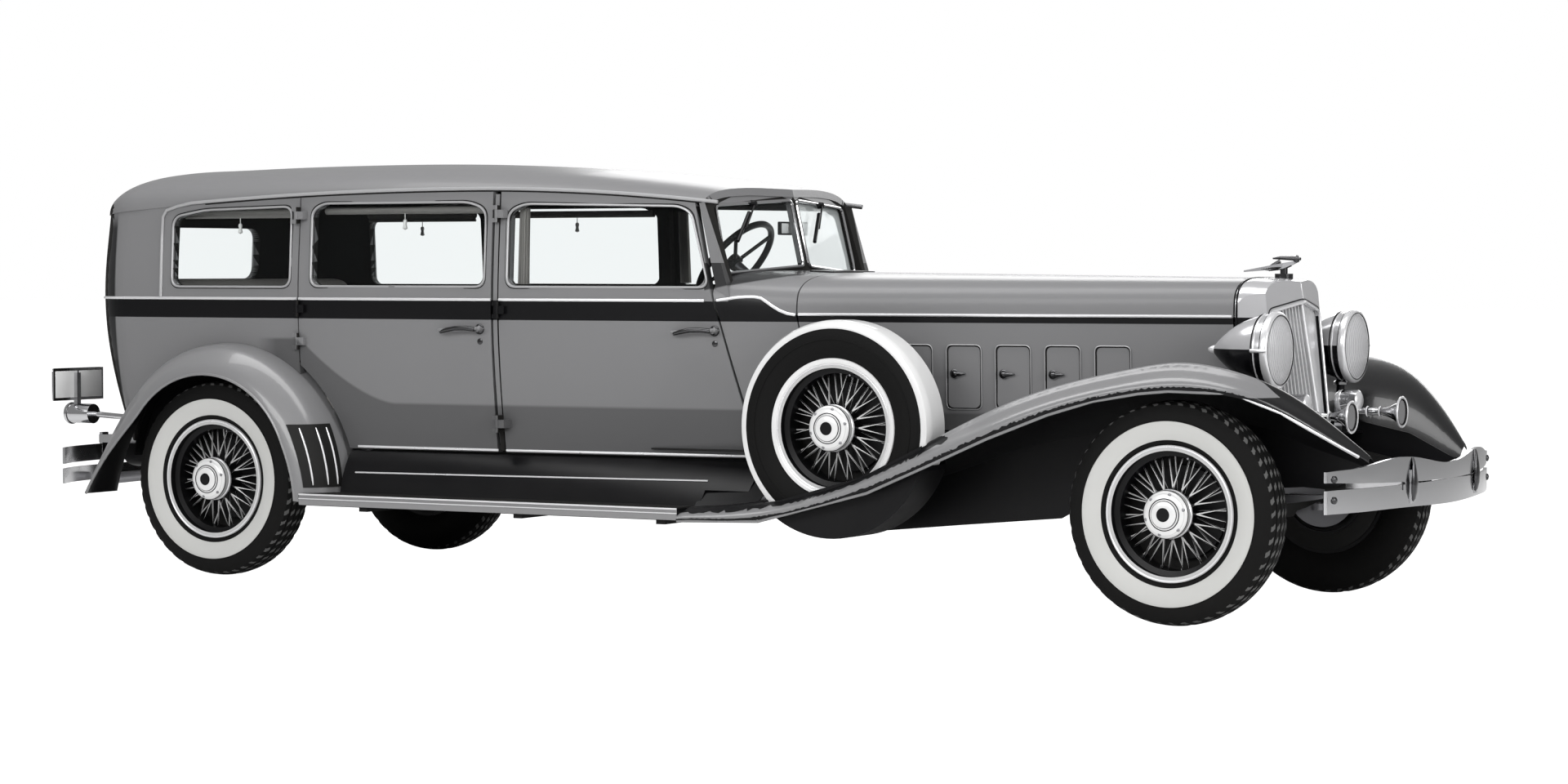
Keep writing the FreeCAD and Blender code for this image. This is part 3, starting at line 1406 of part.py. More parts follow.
def build_boards():
    """Running boards with the splash aprons that close the gap up to the sill."""
    x0, x1 = -1555, 250 - size.seat_fit
    top, depth = size.board_top, size.board_depth
    board = block(x0, x1, size.board_inner_y, size.fender_outer_y - 4, top - depth, top)
    xs = spaced(-1455, 440, 6)
    outer = []
    inner = []
    for x in xs:
        sill = side_y(x, size.sill_z) - 2
        row = [(x, size.board_inner_y + 6, top - depth),
               (x, (sill + size.board_inner_y) / 2 + 14, (top + 528) / 2),
               (x, sill, 531)]
        outer.append(row)
        inner.append([(a, b - 6, c) for a, b, c in row])
    apron = skin(outer, inner)
    arch = rear_fender_volume(size.seat_fit + 0.2)
    ahead = block(250 - size.seat_fit, 600, 600, 900, 200, 420)
    piece = fused([board, apron.cut(ahead)]).cut([arch, block(-2600, size.rear_axle_x, 500, 950, 200, 600)])
    piece = max(piece.Solids, key=lambda s: s.Volume)
    solid("running_boards", both_sides(piece))


# Bumpers and rear fittings

def bar(rows):
    """Curved bar lofted through upright rectangles across the car."""
    return Part.makeLoft([polygon(row) for row in rows], True, False)


def front_bar(low, high):
    rows = []
    for y in spaced(-size.bumper_half_width, size.bumper_half_width, 11):
        x = size.overall_length / 2 - size.bumper_bow * (abs(y) / size.bumper_half_width) ** 2
        rows.append([(x, y, low(y)), (x, y, high(y)), (x - size.bar_thickness, y, high(y)),
                     (x - size.bar_thickness, y, low(y))])
    return bar(rows)


def build_bumpers():
    half = size.bumper_half_width
    hump = lambda y: math.sin(math.pi * min(abs(y) / (half * 0.95), 1.0)) ** 2
    upper = front_bar(lambda y: 514 + 20 * (abs(y) / half) ** 2, lambda y: 572 + 36 * hump(y))
    lower = front_bar(lambda y: 424 + 4 * hump(y), lambda y: 512 - 6 * (abs(y) / half))
    x = size.overall_length / 2
    pieces = [upper, lower]
    for s in (-1, 1):
        clip_x = x - size.bumper_bow * 0.16
        pieces.append(block(clip_x - 26, clip_x + 4, s * 340 - 16, s * 340 + 16, 440, 560))
        pieces.append(block(size.rail_end_front + 0.3, clip_x - 10, s * 398 - 24, s * 398 + 24, 490, 520))
        pieces.append(block(clip_x - 40, clip_x - 20, min(s * 330, s * 420), max(s * 330, s * 420), 490, 520))
    solid("front_bumper", fused(pieces))

    back = -size.overall_length / 2
    pieces = []
    for low, high in ((440, 510), (356, 420)):
        rows = []
        for y in spaced(-780, 780, 9):
            x = back + 110 * (abs(y) / 780) ** 4
            rows.append([(x, y, low), (x, y, high), (x + 12, y, high), (x + 12, y, low)])
        pieces.append(bar(rows))
    for s in (-1, 1):
        pieces.append(block(back + 6, back + 22, s * 398 - 20, s * 398 + 20, 370, 560))
        pieces.append(block(back + 6, size.rail_end_rear - 0.3, s * 398 - 24, s * 398 + 24, 515, 550))
    solid("rear_bumper", fused(pieces))


def build_tail():
    """Two drum lamps on stems from the rear fenders, and the blank plate above the right one."""
    pieces = []
    for s in (-1, 1):
        drum = rod((-2925, s * 700, 655), (-2800, s * 700, 655), 42)
        stem = rod((-2830, s * 700, 655), (-2540, s * 700, 640), 12)
        arch = rear_fender_volume(size.seat_fit)
        stem = stem.cut(arch if s > 0 else mirrored(arch))
        pieces.append(max(fused([drum, stem]).Solids, key=lambda k: k.Volume))
    plate = block(-2905, -2899, -840, -520, 712, 850)
    holes = [rod((-2950, y, 820), (-2850, y, 820), 4) for y in (-769, -591)]
    bracket = block(-2899, -2880, -712, -688, 690, 830)
    pieces[0] = fused([pieces[0], plate.cut(holes), bracket])
    solid("tail_lamps", Part.makeCompound(pieces))


# Cabin

def build_cabin():
    base = size.floor_top + 0.3
    front = padded("front_seat", "XZ_Plane", [
        (-60, base), (-60, 860), (-110, 905), (-420, 880), (-520, 1190), (-590, 1200), (-560, base),
    ], "2 * 520")
    node("front_seat", front)
    deck = 712.3
    rear = padded("rear_seat", "XZ_Plane", [
        (-1770, deck), (-1760, 900), (-1810, 940), (-2260, 910), (-2400, 1230), (-2500, 1240), (-2620, deck),
    ], "2 * 590")
    node("rear_seat", rear)
    rows = cowl_section(276, 14.5)
    arch = Part.Face(Part.Wire([spline(rows), line(rows[-1], rows[0])]))
    dash = arch.extrude(Vector(-20, 0, 0)).common(block(200, 400, -550, 550, 1100, 1400))
    solid("dashboard", dash)
    low, high = (505, 350, 715), (-225, 350, 1302)
    toe = side_prism([(380, 475.6), (620, 912.8), (620, 300), (380, 300)], 300, 400)
    column = rod((530, 350, 694.9), (-212, 350, 1291.5), 20).cut(toe)
    shaft = rod((-150, 350, 1241.6), (-233, 350, 1308.4), 10)
    solid("steering_column", fused([column, shaft]))
    ring_axis = Vector(*high) - Vector(*low)
    wheel = Part.makeTorus(205, 14, Vector(*high), ring_axis)
    boss = Part.makeCylinder(34, 34, Vector(*high) - ring_axis.normalize() * 12, ring_axis)
    bore = Part.makeCylinder(10 + size.pivot_fit, 26, Vector(*high) - ring_axis * 13, ring_axis)
    across = ring_axis.cross(Vector(0, 1, 0)).normalize()
    arms = []
    for i in range(4):
        turn = Rotation(ring_axis, 90 * i + 45)
        arms.append(rod(high, tuple(Vector(*high) + turn.multVec(across) * 200), 8))
    solid("steering_wheel", fused([wheel, boss] + arms).cut(bore))


build_wheels()
build_frame()
build_springs()
build_axles()
build_steering()
build_drive()
build_floor()
build_rear_body()
build_roof()
build_doors()
build_cowl()
build_windshield()
build_hood()
build_radiator()
build_lamps()
build_horns()
build_front_fenders()
build_rear_fenders()
build_boards()
build_bumpers()
build_tail()
build_cabin()
doc.recompute()

failed = [o.Name for o in doc.Objects if "Invalid" in o.State or "Error" in o.State]
if failed:
    raise RuntimeError("objects that failed: " + ", ".join(failed))
broken = [o.Label for o in NODES if o.Shape.isNull() or not o.Shape.isValid() or not o.Shape.Solids]
if broken:
    raise RuntimeError("shapes not valid: " + ", ".join(broken))
os.makedirs("parts", exist_ok=True)
for obj in NODES:
    obj.Shape.exportStep(f"parts/{obj.Label}.step")
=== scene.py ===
"""Looks of the hearse: paint, trim, cushions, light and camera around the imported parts."""

import json
import math

import bmesh
import bpy
from mathutils import Matrix, Vector
from mathutils.bvhtree import BVHTree


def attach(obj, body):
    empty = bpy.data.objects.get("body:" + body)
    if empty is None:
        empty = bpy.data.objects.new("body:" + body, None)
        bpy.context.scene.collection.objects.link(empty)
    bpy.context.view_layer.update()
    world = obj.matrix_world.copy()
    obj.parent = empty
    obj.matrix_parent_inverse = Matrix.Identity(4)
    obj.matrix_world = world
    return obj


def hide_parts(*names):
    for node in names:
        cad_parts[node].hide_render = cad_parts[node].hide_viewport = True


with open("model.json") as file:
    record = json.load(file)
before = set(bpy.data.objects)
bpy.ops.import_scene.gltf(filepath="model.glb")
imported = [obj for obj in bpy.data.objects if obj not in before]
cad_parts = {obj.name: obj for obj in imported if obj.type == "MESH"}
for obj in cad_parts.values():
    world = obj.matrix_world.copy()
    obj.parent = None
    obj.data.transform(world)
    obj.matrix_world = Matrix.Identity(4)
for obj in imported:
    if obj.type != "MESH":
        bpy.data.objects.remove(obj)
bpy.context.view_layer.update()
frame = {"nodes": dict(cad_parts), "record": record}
NODES = frame["nodes"]
HANDS = (("left", 1), ("right", -1))

# Places on the car in metres, as the parts have them.
FRONT_X, REAR_X, WHEEL_Y, AXLE_Z = 2.262, -2.045, 0.76, 0.405
WHEELS = {
    "wheel_front_left": (FRONT_X, WHEEL_Y, AXLE_Z), "wheel_front_right": (FRONT_X, -WHEEL_Y, AXLE_Z),
    "wheel_rear_left": (REAR_X, WHEEL_Y, AXLE_Z), "wheel_rear_right": (REAR_X, -WHEEL_Y, AXLE_Z),
}
SPARE = (0.885, 0.74, 0.68)
TYRE_R, TYRE_HALF = 0.405, 0.089
BELT_LOW, BELT_HIGH, BELT_BEAD = 1.072, 1.150, 1.153
HOOD_SHOULDER, SILL_BEAD = 1.097, 0.548
COWL_BACK, HOOD_BACK, HOOD_FRONT = 0.30, 0.580, 2.272
CABIN_FLOOR, DASH_X = 0.5665, 0.2565
SIDE_HALF, BACK_X, WAIST_Z, BELOW_WAIST, ABOVE_WAIST = 0.727, -2.825, 1.130, 0.590, 0.462
CURVE_START, WINDOW_SILL, ROOF_START = -1.690, 1.17, 1.55
# The front fender's outer edge: where its nose starts, how long it is, and how far it draws in.
NOSE_START, NOSE_LENGTH, NOSE_DRAW, FENDER_HALF = 2.420, 0.475, 0.365, 0.896
WHEEL_RIM = 0.2405
FRONT_BAR_X, REAR_BAR_X = 3.015, -3.015


# Materials

class Field:
    """A number that varies over a surface; sums on it lay math nodes in its tree."""

    def __init__(self, tree, socket):
        self.tree = tree
        self.socket = socket

    def math(self, operation, other=None, swap=False):
        node = self.tree.nodes.new("ShaderNodeMath")
        node.operation = operation
        for socket, term in zip(node.inputs, (other, self) if swap else (self, other)):
            if isinstance(term, Field):
                self.tree.links.new(term.socket, socket)
            elif term is not None:
                socket.default_value = term
        return Field(self.tree, node.outputs[0])

    def held(self):
        """The same number kept between 0 and 1."""
        self.socket.node.use_clamp = True
        return self

    def __add__(self, other):
        return self.math("ADD", other)

    def __sub__(self, other):
        return self.math("SUBTRACT", other)

    def __rsub__(self, other):
        return self.math("SUBTRACT", other, swap=True)

    def __mul__(self, other):
        return self.math("MULTIPLY", other)

    def __truediv__(self, other):
        return self.math("DIVIDE", other)

    def __pow__(self, other):
        return self.math("POWER", other)

    def __abs__(self):
        return self.math("ABSOLUTE")

    def __lt__(self, other):
        return self.math("LESS_THAN", other)

    def __gt__(self, other):
        return self.math("GREATER_THAN", other)

    __radd__ = __add__
    __rmul__ = __mul__


def place_fields(tree):
    """X, Y and Z of the shaded point in the piece's own frame."""
    coords = tree.nodes.new("ShaderNodeTexCoord")
    split = tree.nodes.new("ShaderNodeSeparateXYZ")
    tree.links.new(coords.outputs["Object"], split.inputs[0])
    return [Field(tree, socket) for socket in split.outputs]


def set_inputs(node, values):
    """Sets a node's inputs by their names."""
    for label, value in values.items():
        node.inputs[label].default_value = value
    return node


def node_group(name, inputs, outputs):
    """An empty group: inputs holds its numbers with their start values, outputs its sockets with their kinds."""
    group = bpy.data.node_groups.new(name, "ShaderNodeTree")
    for label, value in inputs.items():
        group.interface.new_socket(label, in_out="INPUT", socket_type="NodeSocketFloat").default_value = value
    for label, kind in outputs.items():
        group.interface.new_socket(label, in_out="OUTPUT", socket_type=kind)
    given = group.nodes.new("NodeGroupInput")
    fields = [Field(group, given.outputs[label]) for label in inputs]
    return group, fields, group.nodes.new("NodeGroupOutput")


def mask_group(name, mask, inputs={}):
    """Group with one output, worked out by mask from the place and the group's inputs."""
    group, given, out = node_group(name, inputs, {"Mask": "NodeSocketFloat"})
    group.links.new(mask(*place_fields(group), *given).socket, out.inputs["Mask"])
    return group


def surface_group():
    """Fine ripple for a normal, and a mask of dust that gathers low down."""
    group, (scale, depth), out = node_group(
        "surface", {"Scale": 60.0, "Depth": 0.02}, {"Normal": "NodeSocketVector", "Dust": "NodeSocketFloat"})
    x, y, z = place_fields(group)
    coords = x.socket.node.inputs[0].links[0].from_socket
    fine = set_inputs(group.nodes.new("ShaderNodeTexNoise"), {"Detail": 3})
    group.links.new(coords, fine.inputs["Vector"])
    group.links.new(scale.socket, fine.inputs["Scale"])
    bump = set_inputs(group.nodes.new("ShaderNodeBump"), {"Distance": 0.002})
    group.links.new(fine.outputs["Fac"], bump.inputs["Height"])
    group.links.new(depth.socket, bump.inputs["Strength"])
    group.links.new(bump.outputs[0], out.inputs["Normal"])
    broad = set_inputs(group.nodes.new("ShaderNodeTexNoise"), {"Scale": 5, "Detail": 6})
    group.links.new(coords, broad.inputs["Vector"])
    dust_height = 1.1
    dust = ((dust_height - z).held() * Field(group, broad.outputs["Fac"])).held()
    group.links.new(dust.socket, out.inputs["Dust"])
    return group


def belt_band(x, y, z):
    """Black band along the belt, which steps down to the hood's shoulder."""
    sweep_front, sweep_length, sweep_rise, sweep_top = 0.575, 0.150, 0.083, 1.164
    along = ((sweep_front - x) / sweep_length).held()
    curve = (HOOD_SHOULDER + along ** 2.0 * sweep_rise).math("MINIMUM", sweep_top)
    behind = x < COWL_BACK
    top = behind * BELT_HIGH + (1 - behind) * curve
    return (z < top) * (z > BELT_LOW)


def painted_nose_shade(x, y, z):
    """Painted shade, black, on the nose of the front fender; it leaves a strip along the rolled edge that runs
    out to a point.
    """
    along = ((x - NOSE_START) / NOSE_LENGTH).held()
    edge = FENDER_HALF - along ** 1.6 * NOSE_DRAW
    strip_end, strip_length, strip_width = 2.70, 0.42, 0.190
    strip = ((strip_end - x) / strip_length).held() ** 0.7 * strip_width
    inner = (edge - abs(y) > strip) * (x > 2.26)
    under = (z < 0.824) * (x > 2.44)
    return inner.math("MAXIMUM", under)


def painted_body_reflection(x, y, z):
    """Depth of the painted reflection on the body: darker along the sill, round the rear corner and under the
    windshield.
    """
    rise_start, rise_length, rise, sill_top = -1.22, 0.46, 0.26, 0.735
    line = ((rise_start - x) / rise_length).held() ** 1.6 * rise + sill_top
    sill = ((line - z) / 0.012).held() * ((x + 1.90) / 0.10).held() * 0.50
    corner_x, corner_y, corner_z = -2.655, 0.66, 1.520
    corner = ((corner_x - x) / 0.010).held() * ((abs(y) + z * 0.12 - corner_y) / 0.10).held()
    corner = corner * (((corner_z - z) / 0.07).held() * 0.92)
    crown = ((z - (x * 0.20 + 1.150)) / 0.006).held()
    scuttle = (x > 0.20) * (z < 1.300) * crown * 0.85 * (x < 0.62)
    return ((sill + corner).held() + scuttle).held()


def dark_reflection_below(x, y, z, height):
    """Lower part of a lamp or shell, below the level Height, where a painted dark reflection goes."""
    return z < height


def axle_distance(x, z, centre_x, centre_z):
    """Distance ahead of an axle, over it, and from it."""
    across, up = x - centre_x, z - centre_z
    return across, up, (across * across + up * up).math("SQRT")


def tread_highlights(x, y, z, centre_x, centre_z):
    """Painted highlights on a tyre's tread tops, round the axle at Centre X and Centre Z."""
    across, up, radius = axle_distance(x, z, centre_x, centre_z)
    off = abs(y) - WHEEL_Y
    skew = (off * 210).math("SINE") * 0.7
    blocks = (up.math("ARCTAN2", across) * 52 + skew).math("SINE") > 0.35
    ribs = (off * 205).math("COSINE") > -0.2
    return blocks * ribs * (radius > TYRE_R - 0.017)


def sidewall_ring(x, y, z, centre_x, centre_z):
    """Ring of a tyre's outboard wall, round the axle at Centre X and Centre Z."""
    ring_in, ring_out = 0.2645, 0.332
    radius = axle_distance(x, z, centre_x, centre_z)[2]
    return (radius < ring_out) * (radius > ring_in) * (abs(y) > WHEEL_Y - 0.01)


AXLE_INPUTS = {"Centre X": 0.0, "Centre Z": 0.0}
SURFACE = surface_group()
BELT = mask_group("belt band", belt_band)
RING = mask_group("sidewall ring", sidewall_ring, AXLE_INPUTS)
TREAD_HIGHLIGHT = mask_group("painted tread highlights", tread_highlights, AXLE_INPUTS)
DARK_REFLECTION = mask_group("painted dark reflection", dark_reflection_below, {"Height": 0.97})
NOSE_SHADE = mask_group("painted nose shade", painted_nose_shade)
BODY_REFLECTION = mask_group("painted body reflection", painted_body_reflection)


def colour_mix(tree, first=None, second=None):
    """A mix node for colours."""
    mix = tree.nodes.new("ShaderNodeMix")
    mix.data_type = "RGBA"
    for label, colour in (("A", first), ("B", second)):
        if colour:
            mix.inputs[label].default_value = (*colour, 1)
    return mix


def placed(tree, group, values):
    """A node of the group in a material's tree, with its inputs set."""
    node = tree.nodes.new("ShaderNodeGroup")
    node.node_tree = group
    return set_inputs(node, values)


def new_material(name, values):
    """A material with its tree and its shader, whose inputs are set."""
    made = bpy.data.materials.new(name)
    made.use_nodes = True
    return made, made.node_tree, set_inputs(made.node_tree.nodes["Principled BSDF"], values)


DUST = (0.30, 0.285, 0.26)


def finish_of(name, colour, metallic=0.0, rough=0.4, coat=0.0, scale=60.0, depth=0.02, dust=0.05, shine=0.5):
    """A plain finish with fine ripple and a little dust."""
    made, tree, shader = new_material(
        name, {"Metallic": metallic, "Specular IOR Level": shine, "Coat Weight": coat, "Coat Roughness": 0.05})
    effect = placed(tree, SURFACE, {"Scale": scale, "Depth": depth})
    tree.links.new(effect.outputs["Normal"], shader.inputs["Normal"])
    mask = Field(tree, effect.outputs["Dust"])
    mix = colour_mix(tree, colour, DUST)
    tree.links.new((mask * dust).socket, mix.inputs["Factor"])
    tree.links.new(mix.outputs["Result"], shader.inputs["Base Color"])
    tree.links.new((mask * 0.12 + rough).socket, shader.inputs["Roughness"])
    return made


def over_paint(made, group, second, values={}):
    """Lays a further colour on a finish, under its dust, where the group's mask says."""
    tree = made.node_tree
    top = tree.nodes["Principled BSDF"].inputs["Base Color"].links[0].from_node
    under = top.inputs["A"]
    mix = colour_mix(tree, under.default_value[:3], second)
    if under.is_linked:
        tree.links.new(under.links[0].from_socket, mix.inputs["A"])
    tree.links.new(placed(tree, group, values).outputs["Mask"], mix.inputs["Factor"])
    tree.links.new(mix.outputs["Result"], under)
    return made


GREY = (0.135, 0.135, 0.138)
BLACK = (0.003, 0.003, 0.0035)
RUBBER = (0.004, 0.004, 0.004)
body_paint = finish_of("body paint", GREY, rough=0.32, coat=0.05, depth=0.012, dust=0.02, shine=0.12)
over_paint(body_paint, BELT, BLACK)
# Painted reflection: black laid along the sill, round the rear corner and on the cowl top.
over_paint(body_paint, BODY_REFLECTION, BLACK)
fender_paint = finish_of("fender paint", GREY, rough=0.28, coat=0.3, depth=0.012, dust=0.02, shine=0.3)
# Painted shade: the front fender's nose is coloured black.
over_paint(fender_paint, NOSE_SHADE, BLACK)
plain_grey = finish_of("moulded grey", GREY, rough=0.3, coat=0.3, depth=0.012, dust=0.05)
black_paint = finish_of("black enamel", BLACK, rough=0.3, dust=0.01, shine=0.12)
chassis_paint = finish_of("chassis black", (0.005, 0.005, 0.005), rough=0.5, scale=200, depth=0.1, dust=0.03,
                          shine=0.12)
spoke_paint = finish_of("spoke enamel", (0.34, 0.34, 0.34), rough=0.3, coat=0.2, dust=0.02)
cover_paint = finish_of("cover enamel", (0.50, 0.50, 0.50), rough=0.2, coat=0.6, depth=0.006, dust=0.02)
chrome = finish_of("chrome", (0.50, 0.50, 0.51), metallic=1.0, rough=0.10, depth=0.004, dust=0.02)
# Painted reflection: bright metal coloured near black, standing in for the dark reflections on it.
metal_painted_dark = finish_of("bright metal, painted dark", (0.055, 0.055, 0.057), metallic=0.9, rough=0.16, depth=0.004,
                        dust=0.0)
bright_line = finish_of("bright moulding", (0.58, 0.58, 0.59), metallic=0.5, rough=0.25, depth=0.005,
                        dust=0.02)
frame_line = finish_of("frame moulding", (0.26, 0.26, 0.265), metallic=0.2, rough=0.3, dust=0.02)
# Painted reflection: the headlamp shell is coloured light above and black below, as bright metal shows sky and
# ground.
lamp_painted_reflection = finish_of("lamp shell, painted reflection", (0.42, 0.42, 0.43), metallic=0.5, rough=0.2, depth=0.004, dust=0.0,
                      shine=0.3)
over_paint(lamp_painted_reflection, DARK_REFLECTION, (0.004, 0.004, 0.005), {"Height": 0.986})
# Painted reflection: the radiator shell is coloured light above and black below Height, as bright metal shows
# sky and ground.
shell_painted_reflection = finish_of("radiator shell, painted reflection", (0.44, 0.44, 0.45), metallic=0.5, rough=0.2, depth=0.004,
                       dust=0.0, shine=0.3)
over_paint(shell_painted_reflection, DARK_REFLECTION, (0.005, 0.005, 0.006), {"Height": 1.098})
steel = finish_of("steel", (0.20, 0.20, 0.21), metallic=1.0, rough=0.4, scale=300, depth=0.1, dust=0.05)
iron = finish_of("cast iron", (0.03, 0.03, 0.032), metallic=0.4, rough=0.6, scale=400, depth=0.4, dust=0.08)
cloth = finish_of("seat cloth", (0.21, 0.20, 0.19), rough=0.9, scale=900, depth=0.5, dust=0.02)
shade_cloth = finish_of("shade cloth", (0.11, 0.105, 0.10), rough=0.85, scale=800, depth=0.3, dust=0.0)
lining = finish_of("cabin lining", (0.012, 0.0115, 0.011), rough=0.85, scale=700, depth=0.4, dust=0.0,
                   shine=0.1)
wood = finish_of("dark wood", (0.05, 0.025, 0.012), rough=0.3, coat=0.5, scale=30, depth=0.05, dust=0.0)
rubber = finish_of("rubber", RUBBER, rough=0.6, scale=500, depth=0.2, dust=0.03, shine=0.15)
pale = finish_of("pale card", (0.50, 0.50, 0.49), rough=0.5, dust=0.02)


def tyre_material(name, x, z, ring):
    """Black tyre with painted highlights on its tread tops, and a pale ring on its wall where ring is set."""
    places = {"Centre X": x, "Centre Z": z}
    made = finish_of(name, RUBBER, rough=0.6, scale=500, depth=0.12, dust=0.01, shine=0.06)
    over_paint(made, RING, (0.38, 0.38, 0.37) if ring else RUBBER, places)
    # Painted highlight: the tread tops are coloured lighter than the rubber.
    return over_paint(made, TREAD_HIGHLIGHT, (0.075, 0.075, 0.074), places)


def clear(name, colour, rough, transmission, flute=None):
    """Glass, with upright flutes when their spacing is given."""
    made, tree, shader = new_material(
        name, {"Base Color": (*colour, 1), "Roughness": rough, "Transmission Weight": transmission, "IOR": 1.45})
    if flute:
        x, y, z = place_fields(tree)
        relief = set_inputs(tree.nodes.new("ShaderNodeBump"), {"Distance": 0.0015, "Strength": 0.6})
        tree.links.new((y * (2 * math.pi / flute)).math("SINE").socket, relief.inputs["Height"])
        tree.links.new(relief.outputs[0], shader.inputs["Normal"])
    return made


def mix_shaders(tree, share, first, second):
    """Shows two shaders as the material's surface; share is the second one's part."""
    mix = tree.nodes.new("ShaderNodeMixShader")
    tree.links.new(share.socket, mix.inputs[0])
    tree.links.new(first.outputs[0], mix.inputs[1])
    tree.links.new(second.outputs[0], mix.inputs[2])
    tree.links.new(mix.outputs[0], tree.nodes["Material Output"].inputs["Surface"])


def thin_glass():
    """Window glass: mostly see-through, with a clean reflection at low angles."""
    made, tree, shader = new_material("window glass", {"Base Color": (0.75, 0.78, 0.78, 1), "Roughness": 0.02})
    see = set_inputs(tree.nodes.new("ShaderNodeBsdfTransparent"), {"Color": (0.97, 0.98, 0.98, 1)})
    edge = set_inputs(tree.nodes.new("ShaderNodeLayerWeight"), {"Blend": 0.12})
    mix_shaders(tree, (Field(tree, edge.outputs["Fresnel"]) * 0.5).held(), see, shader)
    return made


glass = thin_glass()
lens_glass = clear("lamp glass", (0.42, 0.42, 0.43), 0.18, 0.1, flute=0.012)
red_glass = clear("tail glass", (0.25, 0.01, 0.01), 0.15, 0.2)


# Forms

def across_axis(axis):
    """Two directions square to an axis and to each other; the first is upright where it can be."""
    upright = Vector((0, 0, 1)) if abs(axis.z) < 0.8 else Vector((1, 0, 0))
    other = axis.cross(upright).normalized()
    return other.cross(axis), other


def station(point, run, side, radius, ratio):
    """Matrix that sets a unit circle square on a run, flattened along side."""
    columns = Matrix((run.cross(side) * -radius, side * radius * ratio, run))
    return Matrix.Translation(point) @ columns.transposed().to_4x4()


def verts_of(geom):
    return [item for item in geom if isinstance(item, bmesh.types.BMVert)]


class Pile:
    """Gathers the forms of one piece."""

    def __init__(self):
        self.form = bmesh.new()

    def join(self, form):
        """Takes in a finished form."""
        data = bpy.data.meshes.new("form")
        form.to_mesh(data)
        form.free()
        self.form.from_mesh(data)
        bpy.data.meshes.remove(data)
        return self

    def sweep(self, points, radius, sides=8, closed=False, up=None, ratio=1.0):
        """Bar along points; radius is a number or one for each point, ratio flattens it along up."""
        points = [Vector(p) for p in points]
        radii = radius if isinstance(radius, list) else [radius] * len(points)
        last = len(points) - 1
        stations = []
        side = None
        for i, (point, r) in enumerate(zip(points, radii)):
            after = points[(i + 1) % len(points)] if closed else points[min(i + 1, last)]
            before = points[i - 1] if closed else points[max(i - 1, 0)]
            run = (after - before).normalized()
            if up:
                side = Vector(up)
            elif side is None:
                side = Vector((0, 0, 1)) if abs(run.z) < 0.8 else Vector((1, 0, 0))
            side = (side - run * side.dot(run)).normalized()
            stations.append(station(point, run, side, r, ratio))
        bar = bmesh.new()
        bmesh.ops.create_circle(bar, segments=sides, radius=1.0, cap_ends=not closed, matrix=stations[0])
        start, rim, tips = bar.verts[:], bar.edges[:], []
        for here, there in zip(stations, stations[1:] + stations[:1] * closed):
            made = bmesh.ops.extrude_edge_only(bar, edges=rim)["geom"]
            tips = verts_of(made)
            rim = [item for item in made if isinstance(item, bmesh.types.BMEdge)]
            bmesh.ops.transform(bar, matrix=there @ here.inverted(), verts=tips)
        if closed:
            bmesh.ops.remove_doubles(bar, verts=start + tips, dist=1e-4)
        else:
            bmesh.ops.contextual_create(bar, geom=rim)
        return self.join(bar)

    def lathe(self, profile, centre, axis, sides=32, wave=None, closed=False):
        """Turned form; profile holds (way along the axis, radius), wave changes a radius by row and step."""
        centre, axis = Vector(centre), Vector(axis).normalized()
        side, other = across_axis(axis)
        turned = bmesh.new()
        mark = turned.verts.layers.int.new("row")
        line = []
        for row, (reach, radius) in enumerate(profile):
            line.append(turned.verts.new(centre + axis * reach + side * radius))
            line[-1][mark] = row
        edges = [turned.edges.new(pair) for pair in zip(line, line[1:] + line[:1] * closed)]
        bmesh.ops.spin(turned, geom=line + edges, cent=centre, axis=axis, angle=2 * math.pi, steps=sides,
                       use_merge=True)
        bmesh.ops.remove_doubles(turned, verts=turned.verts, dist=1e-5)
        if wave:
            for vert in turned.verts:
                spoke = vert.co - centre
                spoke -= axis * spoke.dot(axis)
                turn = math.atan2(spoke.dot(other), spoke.dot(side)) / (2 * math.pi)
                vert.co += spoke.normalized() * wave(vert[mark], round(turn * sides) % sides)
        turned.verts.layers.int.remove(mark)
        return self.join(turned)

    def box(self, low, high):
        """Box between two corners."""
        low, high = Vector(low), Vector(high)
        place = Matrix.LocRotScale((low + high) / 2, None, high - low)
        bmesh.ops.create_cube(self.form, size=1.0, matrix=place)
        return self

    def strip(self, rows, thick):
        """Thin plate through rows of (point, direction), thickened along each point's direction."""
        plate = bmesh.new()
        way = plate.verts.layers.float_vector.new("way")
        bmesh.ops.create_grid(plate, x_segments=len(rows[0]) - 1, y_segments=len(rows) - 1, size=1.0)
        for vert, (point, direction) in zip(plate.verts, [place for row in rows for place in row]):
            vert.co = point
            vert[way] = direction
        for vert in verts_of(bmesh.ops.extrude_face_region(plate, geom=plate.faces[:])["geom"]):
            vert.co += vert[way] * thick
        plate.verts.layers.float_vector.remove(way)
        return self.join(plate)

    def both(self):
        """Adds the same forms on the car's other side."""
        form = self.form
        bmesh.ops.mirror(form, geom=form.verts[:] + form.edges[:] + form.faces[:], axis="Y", merge_dist=0.0)
        return self

    def make(self, name, material, body="root", smooth=35, bevel=0.0, slot=None):
        """Turns the gathered forms into a piece that rides on a body."""
        form = self.form
        if bevel:
            bmesh.ops.remove_doubles(form, verts=form.verts, dist=1e-5)
            sharp = [e for e in form.edges if len(e.link_faces) == 2 and e.calc_face_angle(0) > 0.6]
            bmesh.ops.bevel(form, geom=sharp, offset=bevel, affect="EDGES", segments=2, profile=0.5,
                            material=-1)
        bmesh.ops.recalc_face_normals(form, faces=form.faces)
        data = bpy.data.meshes.new(name)
        form.to_mesh(data)
        form.free()
        data.materials.append(material)
        data.shade_smooth()
        data.set_sharp_from_angle(angle=math.radians(smooth))
        piece = bpy.data.objects.new(name, data)
        bpy.context.scene.collection.objects.link(piece)
        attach(piece, body)
        return piece


